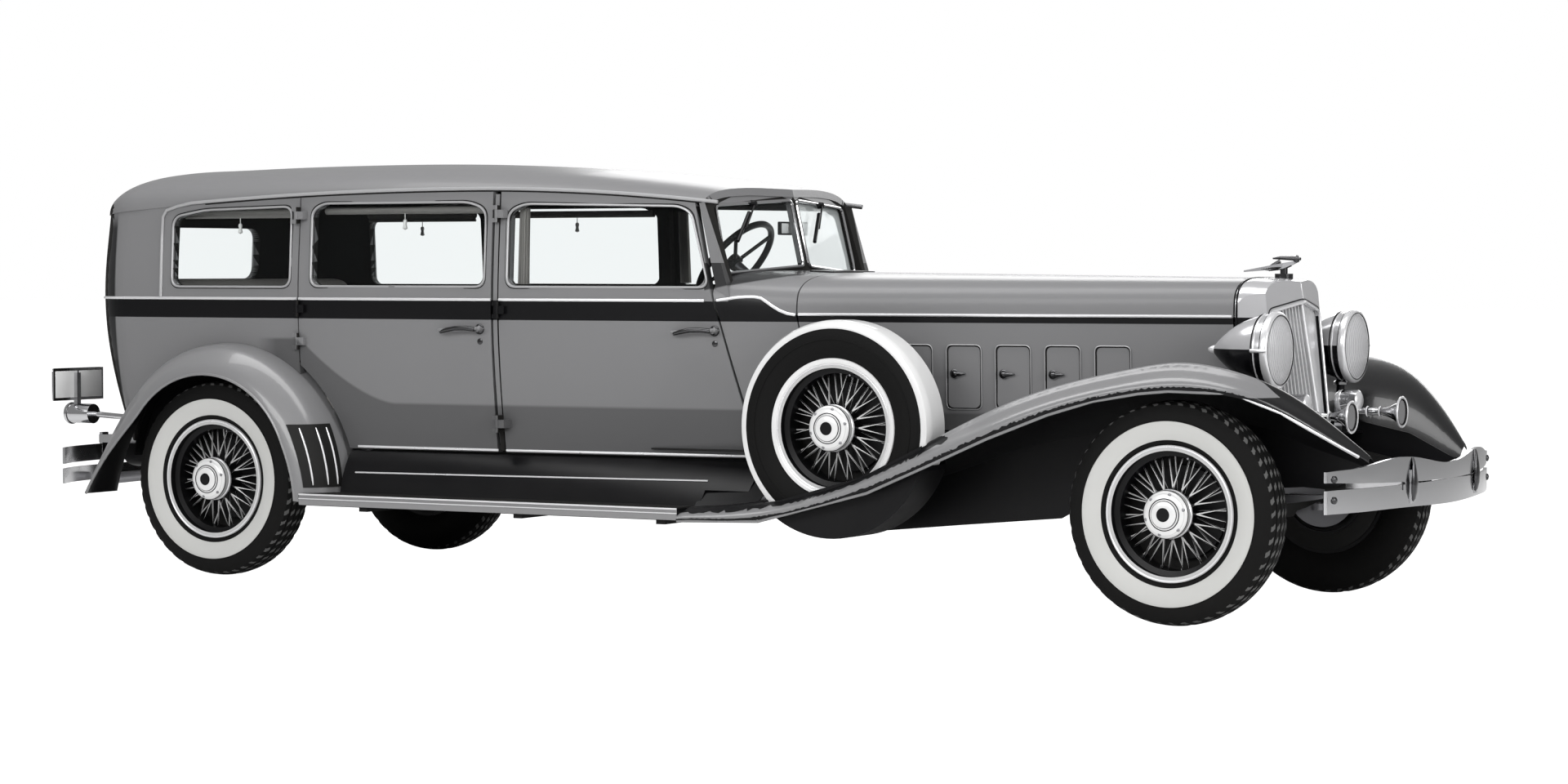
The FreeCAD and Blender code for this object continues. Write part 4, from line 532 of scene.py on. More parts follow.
def side_y(x, z):
    """Half width of the body's outer face, as the panels have it."""
    ahead = max(x - CURVE_START, 0.0)
    if z < WAIST_Z:
        tuck = 0.055 * ((WAIST_Z - z) / BELOW_WAIST) ** 1.6
    else:
        tuck = 0.025 * ((z - WAIST_Z) / ABOVE_WAIST) ** 1.3
    return SIDE_HALF - 0.0384 * ahead ** 1.75 - tuck


def on_side(x, z, s, out=0.0):
    """Place on the car's side, moved outwards by out."""
    return x, s * (side_y(x, z) + out), z


def back_x(z):
    """Outer face of the body's back at height z."""
    if z < WAIST_Z:
        return BACK_X + 0.105 * ((WAIST_Z - z) / BELOW_WAIST) ** 1.6
    return BACK_X + 0.022 * ((z - WAIST_Z) / ABOVE_WAIST) ** 1.5


def front_edge(z):
    """Front edge of the front door at height z."""
    rows = [(0.54, 0.365), (0.74, 0.365), (1.073, 0.270), (1.160, 0.242), (1.52, 0.164), (1.70, 0.125)]
    for (z0, a), (z1, b) in zip(rows, rows[1:]):
        if z <= z1:
            return a + (b - a) * (z - z0) / (z1 - z0)
    return rows[-1][1]


def steps(a, b, count):
    """Even steps from a to b."""
    return [a + (b - a) * i / (count - 1) for i in range(count)]


def corner_points(points, radius, parts=6):
    """Closed outline in two axes with its corners rounded."""
    out = []
    for i, p in enumerate(points):
        here = Vector(p)
        before = Vector(points[i - 1]) - here
        after = Vector(points[(i + 1) % len(points)]) - here
        r = min(radius, before.length / 2, after.length / 2)
        start, end = here + before.normalized() * r, here + after.normalized() * r
        for t in steps(0, 1, parts + 1):
            out.append(start.lerp(here, t).lerp(here.lerp(end, t), t))
    return out


def grown(points, reach):
    """Outline moved outwards from its middle by about reach."""
    middle = sum((Vector(p) for p in points), Vector((0, 0))) / len(points)
    return [(x + math.copysign(reach, x - middle.x), y + math.copysign(reach, y - middle.y))
            for x, y in points]


def body_runs(z):
    """The stretches of the car's side at height z with the body that each one rides on."""
    front = front_edge(z)
    return [(-2.60, -1.6885, "root"), (-1.6785, -0.7465, "rear_door"), (-0.7095, front - 0.002, "front_door"),
            (front + 0.011, 0.567, "root")]


def side_line(name, z, radius, ratio, start, end):
    """Level bright bead along the car's side, cut where the doors are."""
    for x0, x1, owner in body_runs(z):
        x0, x1 = max(x0, start), min(x1, end)
        if x1 - x0 < 0.01:
            continue
        xs = steps(x0, x1, max(int((x1 - x0) / 0.06), 3))
        for hand, s in HANDS:
            line = Pile().sweep([on_side(x, z, s, 0.001) for x in xs], radius, up=(0, s, 0), ratio=ratio)
            body = owner if owner == "root" else f"{owner}_{hand}"
            line.make(f"{name}_{owner}_{hand}_{round(x0 * 100)}", bright_line, body)


def surface(*names):
    """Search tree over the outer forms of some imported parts."""
    verts, faces = [], []
    for name in names:
        data = NODES[name].data
        start = len(verts)
        verts += [v.co.copy() for v in data.vertices]
        faces += [[start + i for i in p.vertices] for p in data.polygons]
    return BVHTree.FromPolygons(verts, faces)


def meet(tree, start, run, lift=0.0):
    """Where a line from start along run meets a surface, lifted off it; None where it misses."""
    run = Vector(run).normalized()
    point, normal, _, _ = tree.ray_cast(Vector(start), run, 6.0)
    if point is None:
        return None
    if normal.dot(run) > 0:
        normal = -normal
    return point + normal * lift, normal


def met(tree, starts, run, lift=0.0):
    """The places where lines from the starts along run meet a surface."""
    hits = [meet(tree, start, run, lift) for start in starts]
    return [hit[0] for hit in hits if hit]


def patch(tree, rows, run, lift):
    """Rows of surface points with their normals, for Pile.strip."""
    grid = [[meet(tree, start, run, lift) for start in row] for row in rows]
    return [row for row in grid if all(row)]


# Wheels and tyres

def arc_through(a, b, c, count):
    """Points of the arc from a over b to c."""
    a, b, c = Vector(a), Vector(b), Vector(c)
    d = 2 * (a.x * (b.y - c.y) + b.x * (c.y - a.y) + c.x * (a.y - b.y))
    aa, bb, cc = a.length_squared, b.length_squared, c.length_squared
    ux = (aa * (b.y - c.y) + bb * (c.y - a.y) + cc * (a.y - b.y)) / d
    uy = (aa * (c.x - b.x) + bb * (a.x - c.x) + cc * (b.x - a.x)) / d
    radius = (a - Vector((ux, uy))).length
    start = math.atan2(a.y - uy, a.x - ux)
    sweep = (math.atan2(c.y - uy, c.x - ux) - start + math.pi) % (2 * math.pi) - math.pi
    return [(ux + radius * math.cos(start + sweep * t), uy + radius * math.sin(start + sweep * t))
            for t in steps(0, 1, count)]


GROOVES = (0.045, 0.016, -0.016, -0.045)
TREAD_STEPS = 160
SHOULDER_R = 0.386


def tyre_profile():
    """Section of the tyre from its outboard foot over the grooved tread to the inboard foot."""
    foot, shoulder = (0.0657, 0.2323), (0.060, 0.3957)
    wall = arc_through((0.0657, 0.247), (TYRE_HALF, 0.3185), (0.070, 0.390), 9)
    crown = []
    for centre in GROOVES:
        for offset, deep in ((0.0035, 0), (0.0022, 1), (-0.0022, 1), (-0.0035, 0)):
            y = centre + offset
            crown.append((y, TYRE_R - 0.0005 - 0.011 * (y / 0.067) ** 2 - 0.007 * deep))
    half = [foot] + wall + [shoulder]
    return half + crown + [(-y, r) for y, r in half[::-1]]


TYRE_ROWS = tyre_profile()


def tread_wave(row, k):
    """Cross cuts in the shoulders and a stagger of the ribs."""
    y, radius = abs(TYRE_ROWS[row][0]), TYRE_ROWS[row][1]
    if radius < SHOULDER_R:
        return 0.0
    if y > 0.05:
        return -0.004 if k % 4 == 0 else 0.0
    return -0.0025 if k % 8 == 4 and y < 0.03 else 0.0


def ring_section(reach, radius, sink, proud, half, flat):
    """Section of a raised ring: half its width at the foot, flat half its width on top."""
    return [(reach - sink, radius + half), (reach + proud, radius + flat), (reach + proud, radius - flat),
            (reach - sink, radius - half)]


def spoke_place(centre, degrees, radius, out):
    """Place at an angle round a wheel's centre, moved outwards by out."""
    angle = math.radians(degrees)
    return Vector(centre) + Vector((math.cos(angle) * radius, out, math.sin(angle) * radius))


HUB_DOME = [(0.0975, 0.0845), (0.1005, 0.0858), (0.104, 0.0845), (0.110, 0.079), (0.115, 0.068),
            (0.1165, 0.056), (0.1175, 0.050), (0.1235, 0.047), (0.1262, 0.040), (0.1275, 0.026),
            (0.1280, 0.012), (0.1281, 0.0)]
HUB_BUTTON = [(0.1255, 0.0265), (0.1292, 0.0240), (0.1296, 0.0110), (0.1300, 0.0)]
HUB_FOOT = [(0.062, 0.0855), (0.066, 0.089), (0.074, 0.089), (0.078, 0.0855)]
RIM_LIP = [(0.072 + 0.004 * math.sin(a), WHEEL_RIM + 0.004 * math.cos(a)) for a in steps(0, 2 * math.pi, 9)]
DRUM_FLANGE = [(-0.083, 0.150), (-0.083, 0.226), (-0.080, 0.2315), (-0.076, 0.2315), (-0.076, 0.150)]
STUD = [(0, 0.007), (0.005, 0.007), (0.006, 0.005), (0.006, 0)]


def dress_wheel(name, centre, owner, cad_tyre=None):
    """Tyre, trim and small parts of a wheel; cad_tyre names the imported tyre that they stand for."""
    x, y, z = centre
    s = 1 if y > 0 else -1
    out = (0, s, 0)
    rubber_coat = tyre_material(f"tyre {name}", x, z, cad_tyre is not None)
    tyre = Pile().lathe(TYRE_ROWS, centre, out, TREAD_STEPS, tread_wave, closed=True)
    tyre = tyre.make(f"tread_{name}", rubber_coat, owner, smooth=28, slot="tyre")
    if cad_tyre:
        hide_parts(cad_tyre)
    ribs = Pile()
    for reach, radius in ((0.0705, 0.2595), (0.0893, 0.3335)):
        ribs.lathe(ring_section(reach, radius, 0.003, 0.0012, 0.003, 0.0015), centre, out, 96)
    ribs.make(f"wall_ribs_{name}", rubber_coat, owner)
    trim = Pile().lathe(RIM_LIP, centre, out, 96).lathe(HUB_FOOT, centre, out, 64)
    cap = Pile().lathe(HUB_DOME, centre, out, 64)
    cap.make(f"hub_cap_{name}", cover_paint, owner, smooth=40, slot="bright")
    trim.make(f"wheel_trim_{name}", bright_line, owner, smooth=40, slot="bright")
    rings = Pile().lathe(HUB_BUTTON, centre, out, 48)
    for reach, radius in ((0.1015, 0.0852), (0.1172, 0.057), (0.1205, 0.0480)):
        rings.lathe(ring_section(reach, radius, 0.002, 0.0008, 0.002, 0.0014), centre, out, 64)
    rings.make(f"hub_rings_{name}", black_paint, owner, smooth=40, slot="black_paint")
    flange = Pile().lathe(DRUM_FLANGE, centre, out, 64)
    flange.make(f"drum_flange_{name}", chassis_paint, owner, smooth=40, slot="black_paint")
    valve = spoke_place(centre, 70, 0.212, s * 0.03)
    small = Pile().sweep([valve, valve + Vector((0, s * 0.045, 0))], 0.004)
    for degrees in range(15, 360, 60):
        small.lathe(STUD, spoke_place(centre, degrees, 0.0735, s * 0.108), out, 6)
    small.make(f"wheel_small_{name}", steel, owner, slot="steel")


for wheel_name, place in WHEELS.items():
    dress_wheel(wheel_name, place, wheel_name, "tyre" + wheel_name[5:])
COVER_BAND = [(-0.055, 0.4045), (-0.055, 0.4055), (0.040, 0.4062), (0.060, 0.404), (0.074, 0.396),
              (0.079, 0.382), (0.0785, 0.374), (0.076, 0.372)]
COVER_RING = [(0.0750, 0.2635), (0.0795, 0.2615), (0.0795, 0.2480), (0.0770, 0.2430), (0.0720, 0.2400)]
for hand, s in HANDS:
    place = (SPARE[0], s * SPARE[1], SPARE[2])
    dress_wheel(f"spare_{hand}", place, "root")
    band = Pile().lathe(COVER_BAND, place, (0, s, 0), 120).lathe(COVER_RING, place, (0, s, 0), 96)
    band.make(f"spare_band_{hand}", cover_paint, "root", slot="bright")
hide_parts("spare_tyres")


# Body mouldings

def back_points(z, lift, start_x, count=9):
    """Line at height z from the left side, round both rear corners, to the right side."""
    radius = 0.215
    cx = back_x(z) + radius
    cy = side_y(cx, z) - radius
    half = [on_side(start_x, z, 1, lift)]
    for a in steps(math.pi / 2, math.pi, count):
        half.append((cx + (radius + lift) * math.cos(a), cy + (radius + lift) * math.sin(a), z))
    half += [(back_x(z) - lift, y, z) for y in steps(cy * 0.75, 0, 4)]
    return half + [(x, -y, z) for x, y, z in half[-2::-1]]


COWL = surface("cowl")
COWL_BELT = [(0.253, 1.154), (0.290, 1.159), (0.330, 1.165), (0.370, 1.168), (0.405, 1.168), (0.432, 1.163),
             (0.452, 1.150), (0.475, 1.134), (0.505, 1.116), (0.535, 1.104), (0.566, 1.099)]
side_line("belt_moulding", BELT_BEAD, 0.006, 0.7, -2.60, 0.20)
belt_back = Pile().sweep(back_points(BELT_BEAD, 0.001, -2.60), 0.006)
belt_back.make("belt_moulding_back", bright_line, slot="bright")
for hand, s in HANDS:
    line = met(COWL, [(x, s * 2, z) for x, z in COWL_BELT], (0, -s, 0), 0.001)
    line = Pile().sweep(line, 0.006, up=(0, s, 0), ratio=0.7)
    line.make(f"belt_moulding_cowl_{hand}", bright_line, "root", slot="bright")
side_line("sill_moulding", SILL_BEAD, 0.005, 0.6, -1.42, 0.36)


def drip_z(x):
    """Height of the gutter, bowed more steeply ahead of the centre pillar."""
    bow = 0.050 if x > -0.86 else 0.024
    return 1.592 - bow * (x + 0.86) ** 2


DRIP_BEND = [(-2.33, 1.538), (-2.385, 1.522), (-2.403, 1.495), (-2.405, 1.40), (-2.405, 1.28),
             (-2.405, 1.158)]
for hand, s in HANDS:
    gutter = [(x, s * (side_y(x, drip_z(x)) + 0.006), drip_z(x) + 0.006) for x in steps(0.25, -2.25, 36)]
    shadow = [(x, y - s * 0.004, z - 0.009) for x, y, z in gutter[:-1]]
    gutter += [on_side(x, z, s, 0.003) for x, z in DRIP_BEND]
    gutter = Pile().sweep(gutter, 0.007, up=(0, s, 0), ratio=0.8)
    gutter.make(f"drip_moulding_{hand}", frame_line, slot="bright")
    Pile().sweep(shadow, 0.0035, up=(0, s, 0)).make(f"drip_shadow_{hand}", rubber, slot="black_paint")

WINDOWS = {
    "quarter": [(-2.345, 1.205), (-1.730, 1.205), (-1.730, 1.530), (-2.180, 1.518), (-2.345, 1.490)],
    "rear_door": [(-1.617, 1.208), (-0.782, 1.208), (-0.782, 1.510), (-0.860, 1.541), (-1.560, 1.541),
                  (-1.617, 1.512)],
    "front_door": [(-0.672, 1.208), (0.214, 1.208), (0.134, 1.490), (0.080, 1.518), (-0.600, 1.532),
                   (-0.672, 1.500)],
}
# Beads round a window: kind, growth of the outline, corner radius, place off the side, radius, coat, slot.
WINDOW_BEADS = (
    ("bead", 0.004, 0.045, 0.0005, 0.005, frame_line, "bright"),
    # Painted shadow: a thin black line round the outside of the frame bead.
    ("line", 0.010, 0.048, -0.001, 0.0028, rubber, "black_paint"),
    ("rubber", -0.004, 0.04, -0.012, 0.006, rubber, None),
)
for name, outline in WINDOWS.items():
    for hand, s in HANDS:
        body = f"{name}_{hand}" if "door" in name else "root"
        for kind, growth, corner, out, radius, coat, slot in WINDOW_BEADS:
            loop = [on_side(x, z, s, out) for x, z in corner_points(grown(outline, growth), corner)]
            loop = Pile().sweep(loop, radius, 6, closed=True)
            loop.make(f"window_{kind}_{name}_{hand}", coat, body, slot=slot)
back_window = [(-0.42, 1.231), (0.42, 1.231), (0.42, 1.457), (-0.42, 1.457)]
back_window = corner_points(grown(back_window, 0.004), 0.06)
back_window = Pile().sweep([(back_x(z) - 0.001, y, z) for y, z in back_window], 0.005, 6, closed=True)
back_window.make("window_bead_back", bright_line, slot="bright")


# Door handles, hinges and hood details

HANDLE_BOSS = [(0, 0.021), (0.004, 0.021), (0.007, 0.016), (0.010, 0.011), (0.030, 0.009), (0.034, 0.010),
               (0.040, 0.009), (0.042, 0.0)]
# Along the lever from 0 to 1, distance off the door, height over the pivot, radius.
HANDLE_ROWS = [(0.0, 0.035, 0.0, 0.013), (0.25, 0.038, 0.004, 0.0122), (0.55, 0.037, 0.003, 0.0118),
               (0.8, 0.034, -0.004, 0.0120), (1.0, 0.028, -0.012, 0.009)]
LOCK = [(0, 0.012), (0.003, 0.012), (0.004, 0.009), (0.004, 0)]
HANDLE_Z, LOCK_Z = 1.035, 0.985


def door_handle(pivot_x, tip_x, body, s):
    """Lever handle that points from its pivot to its tip, with a lock under it."""
    form = Pile().lathe(HANDLE_BOSS, on_side(pivot_x, HANDLE_Z, s, -0.001), (0, s, 0), 24)
    points = []
    for t, out, up, _ in HANDLE_ROWS:
        x = pivot_x + (tip_x - pivot_x) * t
        points.append((x, s * (side_y(x, HANDLE_Z) + out), HANDLE_Z + up))
    form.sweep(points, [row[3] for row in HANDLE_ROWS], 14, ratio=0.8)
    form.make(f"handle_{body}", metal_painted_dark, body, smooth=60, slot="bright")
    lock = Pile().lathe(LOCK, on_side(pivot_x, LOCK_Z, s, -0.0005), (0, s, 0), 20)
    lock.make(f"lock_{body}", metal_painted_dark, body, slot="bright")


for hand, s in HANDS:
    door_handle(-0.800, -0.965, f"rear_door_{hand}", s)
    door_handle(0.243, 0.085, f"front_door_{hand}", s)


def hood_half(x):
    """Half width of the hood at its shoulder."""
    return 0.535 - 0.252 * (x - 0.575) / 1.701


def hood_wall_y(x, z):
    """Half width of the hood's upright side."""
    return hood_half(x) - 0.014 * (1.100 - z) / 0.436


VENT_START, VENT_STEP, VENT_LENGTH, VENT_LOW, VENT_HIGH = 0.987, 0.193, 0.126, 0.750, 0.983
VENT_KNOB = [(0, 0.007), (0.006, 0.007), (0.010, 0.015), (0.016, 0.017), (0.022, 0.012), (0.024, 0.0)]
LATCH_BOSS = [(0, 0.018), (0.005, 0.018), (0.008, 0.012), (0.008, 0)]
for hand, s in HANDS:
    top, leaf = f"hood_top_{hand}", f"hood_side_{hand}"
    line = [(x, s * (hood_half(x) + 0.002), 1.101) for x in steps(HOOD_BACK, HOOD_FRONT, 20)]
    line = Pile().sweep(line, 0.006, up=(0, s, 0), ratio=0.8)
    line.make(f"hood_moulding_{hand}", bright_line, top, slot="bright")
    fittings, outlines, gaps = Pile(), Pile(), Pile()
    for k in range(5):
        x0 = VENT_START + VENT_STEP * k
        x1, mid = x0 + VENT_LENGTH, x0 + VENT_LENGTH / 2
        vent = [(x0, VENT_LOW), (x1, VENT_LOW), (x1, VENT_HIGH), (x0, VENT_HIGH)]
        for growth, radius, out, pile in ((0.003, 0.0034, 0.0005, gaps), (-0.006, 0.0020, 0.0045, outlines)):
            pile.sweep([(x, s * (hood_wall_y(mid, z) - 0.148 * (x - mid) + out), z)
                        for x, z in corner_points(grown(vent, growth), 0.024)], radius, 6, closed=True)
        if 0 < k < 4:
            x, y, z = x0 + 0.030, hood_wall_y(x0 + 0.030, 0.875) + 0.003, 0.880
            fittings.lathe(VENT_KNOB, (x, s * y, z), (0, s, 0), 20)
            grip = [(0, 0.014), (0.022, 0.013), (0.046, 0.008)]
            fittings.sweep([(x + along, s * (y + out), z) for along, out in grip], [0.013, 0.009, 0.002], 12,
                           up=(0, s, 0), ratio=0.7)
    # Painted highlight: the bead round each vent door is coloured lighter than the body.
    outlines.make(f"vent_edges_{hand}", frame_line, leaf, slot="body_paint")
    gaps.make(f"vent_gaps_{hand}", rubber, leaf, slot="black_paint")
    for x in (0.70, 2.12):
        y = hood_wall_y(x, 0.700)
        hook = [(0.003, 0.735), (0.022, 0.725), (0.024, 0.690), (0.010, 0.672)]
        fittings.sweep([(x, s * (y + out), z) for out, z in hook], 0.006, 10)
        fittings.lathe(LATCH_BOSS, (x, s * y, 0.735), (0, s, 0), 16)
    fittings.make(f"hood_fittings_{hand}", metal_painted_dark, leaf, smooth=50, slot="bright")
    crease = met(surface(top), [(x, s * 0.0105, 2) for x in steps(0.582, 2.270, 12)], (0, 0, -1))
    crease = Pile().sweep([p + Vector((0, 0, -0.001)) for p in crease], 0.0045)
    crease.make(f"hood_centre_{hand}", bright_line, top, slot="bright")

LID = [[(x, y, 2.0) for y in steps(-0.17, 0.17, 13)] for x in steps(0.425, 0.535, 6)]
lid = Pile().strip(patch(COWL, LID, (0, 0, -1), 0.0), 0.006)
lid.make("cowl_vent_lid", body_paint, smooth=25, slot="body_paint")


# Front end

def shell_face(y, z):
    """Outer face of the shell's vee front."""
    lean = 0.095 * (1.241 - z) / 0.5827
    ridge, corner = 2.428 + lean, 2.390 + 0.6 * lean
    return ridge - (ridge - corner) * abs(y) / 0.265


SHELL = surface("radiator_shell")


def on_shell(y, z, lift=0.0):
    """Place on the shell's front face, met from ahead."""
    hit = meet(SHELL, (3.4, y, z), (-1, 0, 0), lift)
    return hit[0] if hit else Vector((shell_face(y, z) + lift, y, z))


mouth = grown([(-0.245, 0.690), (-0.245, 1.112), (0.0, 1.150), (0.245, 1.112), (0.245, 0.690)], 0.005)
mouth = corner_points(mouth, 0.036)
mouth = [a.lerp(b, t) for a, b in zip(mouth, mouth[1:] + mouth[:1]) for t in steps(0, 0.8, 5)]
shell_band = Pile().sweep([on_shell(y, z) for y, z in mouth], 0.006, 10, closed=True)
shell_band.make("shell_band", bright_line, slot="bright")
shell_shadow = [on_shell(y * 1.036, z + (0.012 if z > 0.9 else -0.008)) for y, z in mouth]
Pile().sweep(shell_shadow, 0.0028, 6, closed=True).make("shell_band_shadow", black_paint, slot="black_paint")
post = Pile().sweep([(shell_face(0, z) - 0.010, 0, z) for z in steps(0.690, 1.148, 8)], 0.007, 10)
post.make("grille_post", bright_line, slot="bright")
crest = Pile().sweep([on_shell(0, z, -0.002) for z in steps(1.162, 1.222, 6)], 0.0035)
crest.make("shell_crest", bright_line, slot="bright")

# Ornament on the radiator cap: a body, a neck, a long bar, its foot and two small wings.
figure = Pile()
figure.sweep([(2.284, 0, 1.274), (2.310, 0, 1.275), (2.365, 0, 1.281), (2.392, 0, 1.288)],
             [0.005, 0.011, 0.011, 0.003], 12, up=(0, 0, 1), ratio=0.6)
figure.sweep([(2.300, 0, 1.275), (2.322, 0, 1.290), (2.346, 0, 1.305)], [0.009, 0.010, 0.008], 12)
figure.sweep([(2.318, 0, 1.316), (2.350, 0, 1.318), (2.400, 0, 1.316), (2.428, 0, 1.314)],
             [0.004, 0.009, 0.011, 0.007], 12, up=(0, 0, 1), ratio=0.8)
figure.sweep([(2.404, 0, 1.304), (2.412, 0, 1.312), (2.416, 0, 1.328)], [0.007, 0.009, 0.004], 12)
for s in (1, -1):
    figure.sweep([(2.356, s * 0.006, 1.283), (2.322, s * 0.026, 1.279), (2.286, s * 0.040, 1.275)],
                 [0.008, 0.010, 0.003], 10, up=(0, 0, 1), ratio=0.35)
figure.make("cap_figure", metal_painted_dark, smooth=60, slot="bright")
arch = [meet(SHELL, (2.290, 2 * math.sin(a), 0.95 + 2 * math.cos(a)), (0, -math.sin(a), -math.cos(a)), 0.001)
        for a in steps(-2.0, 2.0, 61)]
seam = Pile().sweep([hit[0] for hit in arch if hit], 0.004)
seam.make("shell_seam", black_paint, slot="black_paint")

AHEAD = (1, 0, 0)
LAMP, HORN = (2.499, 0.390, 0.982), (2.731, 0.264, 0.739)
LAMP_BEZEL = [(-0.022, 0.1325), (-0.020, 0.139), (-0.012, 0.1415), (0.000, 0.1405), (0.006, 0.136),
              (0.008, 0.129), (0.003, 0.122)]
LAMP_RIB = [(-0.052, 0.1285), (-0.050, 0.1325), (-0.046, 0.1325), (-0.044, 0.129)]
LAMP_TAIL = [(-0.276, 0.0), (-0.273, 0.008), (-0.262, 0.014), (-0.245, 0.018), (-0.235, 0.016)]
LAMP_CLIP = [(-0.055, 0.131), (-0.030, 0.142), (-0.005, 0.145), (0.004, 0.138)]
STAND_FOOT = [(0.0, 0.046), (0.006, 0.046), (0.012, 0.030), (0.030, 0.022), (0.070, 0.019)]
STAND_COLLAR = [(0, 0.026), (0.010, 0.026), (0.016, 0.018)]
HORN_BELL = [(-0.004, 0.054), (-0.002, 0.059), (0.003, 0.0605), (0.006, 0.057), (0.004, 0.052),
             (-0.010, 0.040), (-0.030, 0.024), (-0.060, 0.012), (-0.064, 0.0)]
HORN_REAR = [(-0.262, 0.012), (-0.258, 0.030), (-0.246, 0.038), (-0.236, 0.0415), (-0.232, 0.040)]
HORN_CAN = [(-0.172, 0.0405), (-0.168, 0.038), (-0.160, 0.024), (-0.158, 0.0)]
HORN_THROAT = [(0.0045, 0.0500), (0.0015, 0.046), (-0.006, 0.038), (-0.012, 0.0)]
for hand, s in HANDS:
    x, y, z = place = (LAMP[0], s * LAMP[1], LAMP[2])
    form = Pile().lathe(LAMP_BEZEL, place, AHEAD, 64).lathe(LAMP_RIB, place, AHEAD, 64)
    form.lathe(LAMP_TAIL, place, AHEAD, 20)
    form.sweep([(x + along, y + s * out, z) for along, out in LAMP_CLIP], [0.008, 0.007, 0.007, 0.005], 10)
    form.make(f"lamp_rim_{hand}", bright_line, smooth=50, slot="bright")
    lines = Pile()
    for reach, radius in ((0.0065, 0.1268), (-0.0225, 0.1345), (-0.058, 0.1300)):
        ring = [(x + reach, y + radius * math.cos(a), z + radius * math.sin(a))
                for a in steps(0, 2 * math.pi, 64)[:-1]]
        lines.sweep(ring, 0.0024, 6, closed=True, up=AHEAD)
    lines.make(f"lamp_lines_{hand}", black_paint, slot="black_paint")
    stand = Pile().lathe(STAND_FOOT, (x - 0.060, y, 0.659), (0, 0, 1))
    stand.lathe(STAND_COLLAR, (x - 0.060, y, 0.835), (0, 0, 1))
    stand.make(f"lamp_stand_{hand}", chrome, smooth=50, slot="bright")

    x, y, z = place = (HORN[0], s * HORN[1], HORN[2])
    horn = Pile().lathe(HORN_BELL, place, AHEAD, 48)
    horn.lathe(HORN_REAR, (x, y, z + 0.040), AHEAD).lathe(HORN_CAN, (x, y, z + 0.040), AHEAD)
    for reach in (0.085, 0.135):
        horn.lathe([(-reach - 0.004, 0.018), (-reach, 0.021), (-reach + 0.004, 0.019)], place, AHEAD, 24)
    horn.make(f"horn_trim_{hand}", bright_line, smooth=50, slot="bright")
    throat = Pile().lathe(HORN_THROAT, place, AHEAD, 40)
    throat.make(f"horn_throat_{hand}", black_paint, smooth=50, slot="black_paint")


def front_bar_x(y):
    """Front of the front bumper's bars."""
    return FRONT_BAR_X - 0.150 * (abs(y) / 0.850) ** 2


def rear_bar_x(y):
    """Back of the rear bumper's bars."""
    return REAR_BAR_X + 0.110 * (abs(y) / 0.780) ** 4


BOLT = [(0.0, 0.013), (0.004, 0.013), (0.008, 0.009), (0.010, 0.0)]
ARM_BOLT = [(0.0, 0.015), (0.005, 0.015), (0.010, 0.010), (0.012, 0.0)]
# Height on the clip and its half width there.
CLIP_ROWS = [(0.446, 0.004), (0.456, 0.014), (0.480, 0.022), (0.515, 0.024), (0.550, 0.018), (0.590, 0.008),
             (0.604, 0.003)]
clips, ends, bolts = Pile(), Pile(), Pile()
for s in (1, -1):
    x, y = front_bar_x(0.340), s * 0.340
    clips.sweep([(x + 0.003 + 0.006 * math.sin(math.pi * i / 6), y, z) for i, (z, _) in enumerate(CLIP_ROWS)],
                [width for _, width in CLIP_ROWS], 16, up=AHEAD, ratio=0.42)
    for z in (0.472, 0.545):
        clips.lathe(BOLT, (front_bar_x(0.815), s * 0.815, z), (1, s * 0.3, 0), 20)
    x = front_bar_x(0.850) - 0.006
    for low, high in ((0.534, 0.572), (0.424, 0.506)):
        ends.sweep([(x, s * 0.850, low), (x, s * 0.850, high)], 0.0075, 12)
    for z in (0.475, 0.388):
        bolts.lathe(BOLT, (rear_bar_x(0.700), s * 0.700, z), (-1, 0, 0), 20)
        bolts.lathe(ARM_BOLT, (REAR_BAR_X + 0.008, s * 0.398, z), (-1, 0, 0), 20)
clips.make("front_bumper_clips", metal_painted_dark, smooth=60, slot="bright")
ends.make("front_bumper_ends", chrome, smooth=60, slot="bright")
bolts.make("rear_bumper_bolts", chrome, smooth=60, slot="bright")


# Fenders and running boards

REAR_FENDERS = surface("rear_fenders")
# Edge of the front fender from the running board to its nose, in X and Z.
FRONT_BEAD = [(0.250, 0.312), (0.607, 0.322), (1.072, 0.443), (1.324, 0.551), (1.571, 0.658), (1.814, 0.750),
              (1.993, 0.802), (2.169, 0.832), (2.286, 0.843), (2.520, 0.838), (2.660, 0.770), (2.780, 0.680),
              (2.893, 0.592)]
bead = []
for (x0, z0), (x1, z1) in zip(FRONT_BEAD, FRONT_BEAD[1:]):
    for t in steps(0, 0.8, 5):
        x = x0 + (x1 - x0) * t
        nose = max((x - NOSE_START) / NOSE_LENGTH, 0.0)
        bead.append((x, FENDER_HALF - NOSE_DRAW * nose ** 1.6, z0 + (z1 - z0) * t + 0.002))
front_beads = Pile().sweep([p for p in bead if p[0] < 2.56], 0.006).both()
front_beads.make("front_fender_beads", plain_grey, slot="fender_paint")
# Painted highlight: along the shaded nose the fender's edge bead is bright.
tips = Pile().sweep([p for p in bead if p[0] > 2.53], 0.006).both()
tips.make("front_fender_tips", bright_line, slot="bright")
rear_bead = []
for degrees in steps(-9, 187, 60):
    flare = 0.200 * max((degrees - 140) / 47, 0.0) ** 1.9 + 0.042 * max((22 - degrees) / 32, 0.0) ** 1.5
    a, r = math.radians(degrees), 0.436 + flare
    rear_bead.append((REAR_X + r * math.cos(a), 0.897, AXLE_Z + r * math.sin(a)))
Pile().sweep(rear_bead, 0.006).both().make("rear_fender_beads", plain_grey, slot="fender_paint")

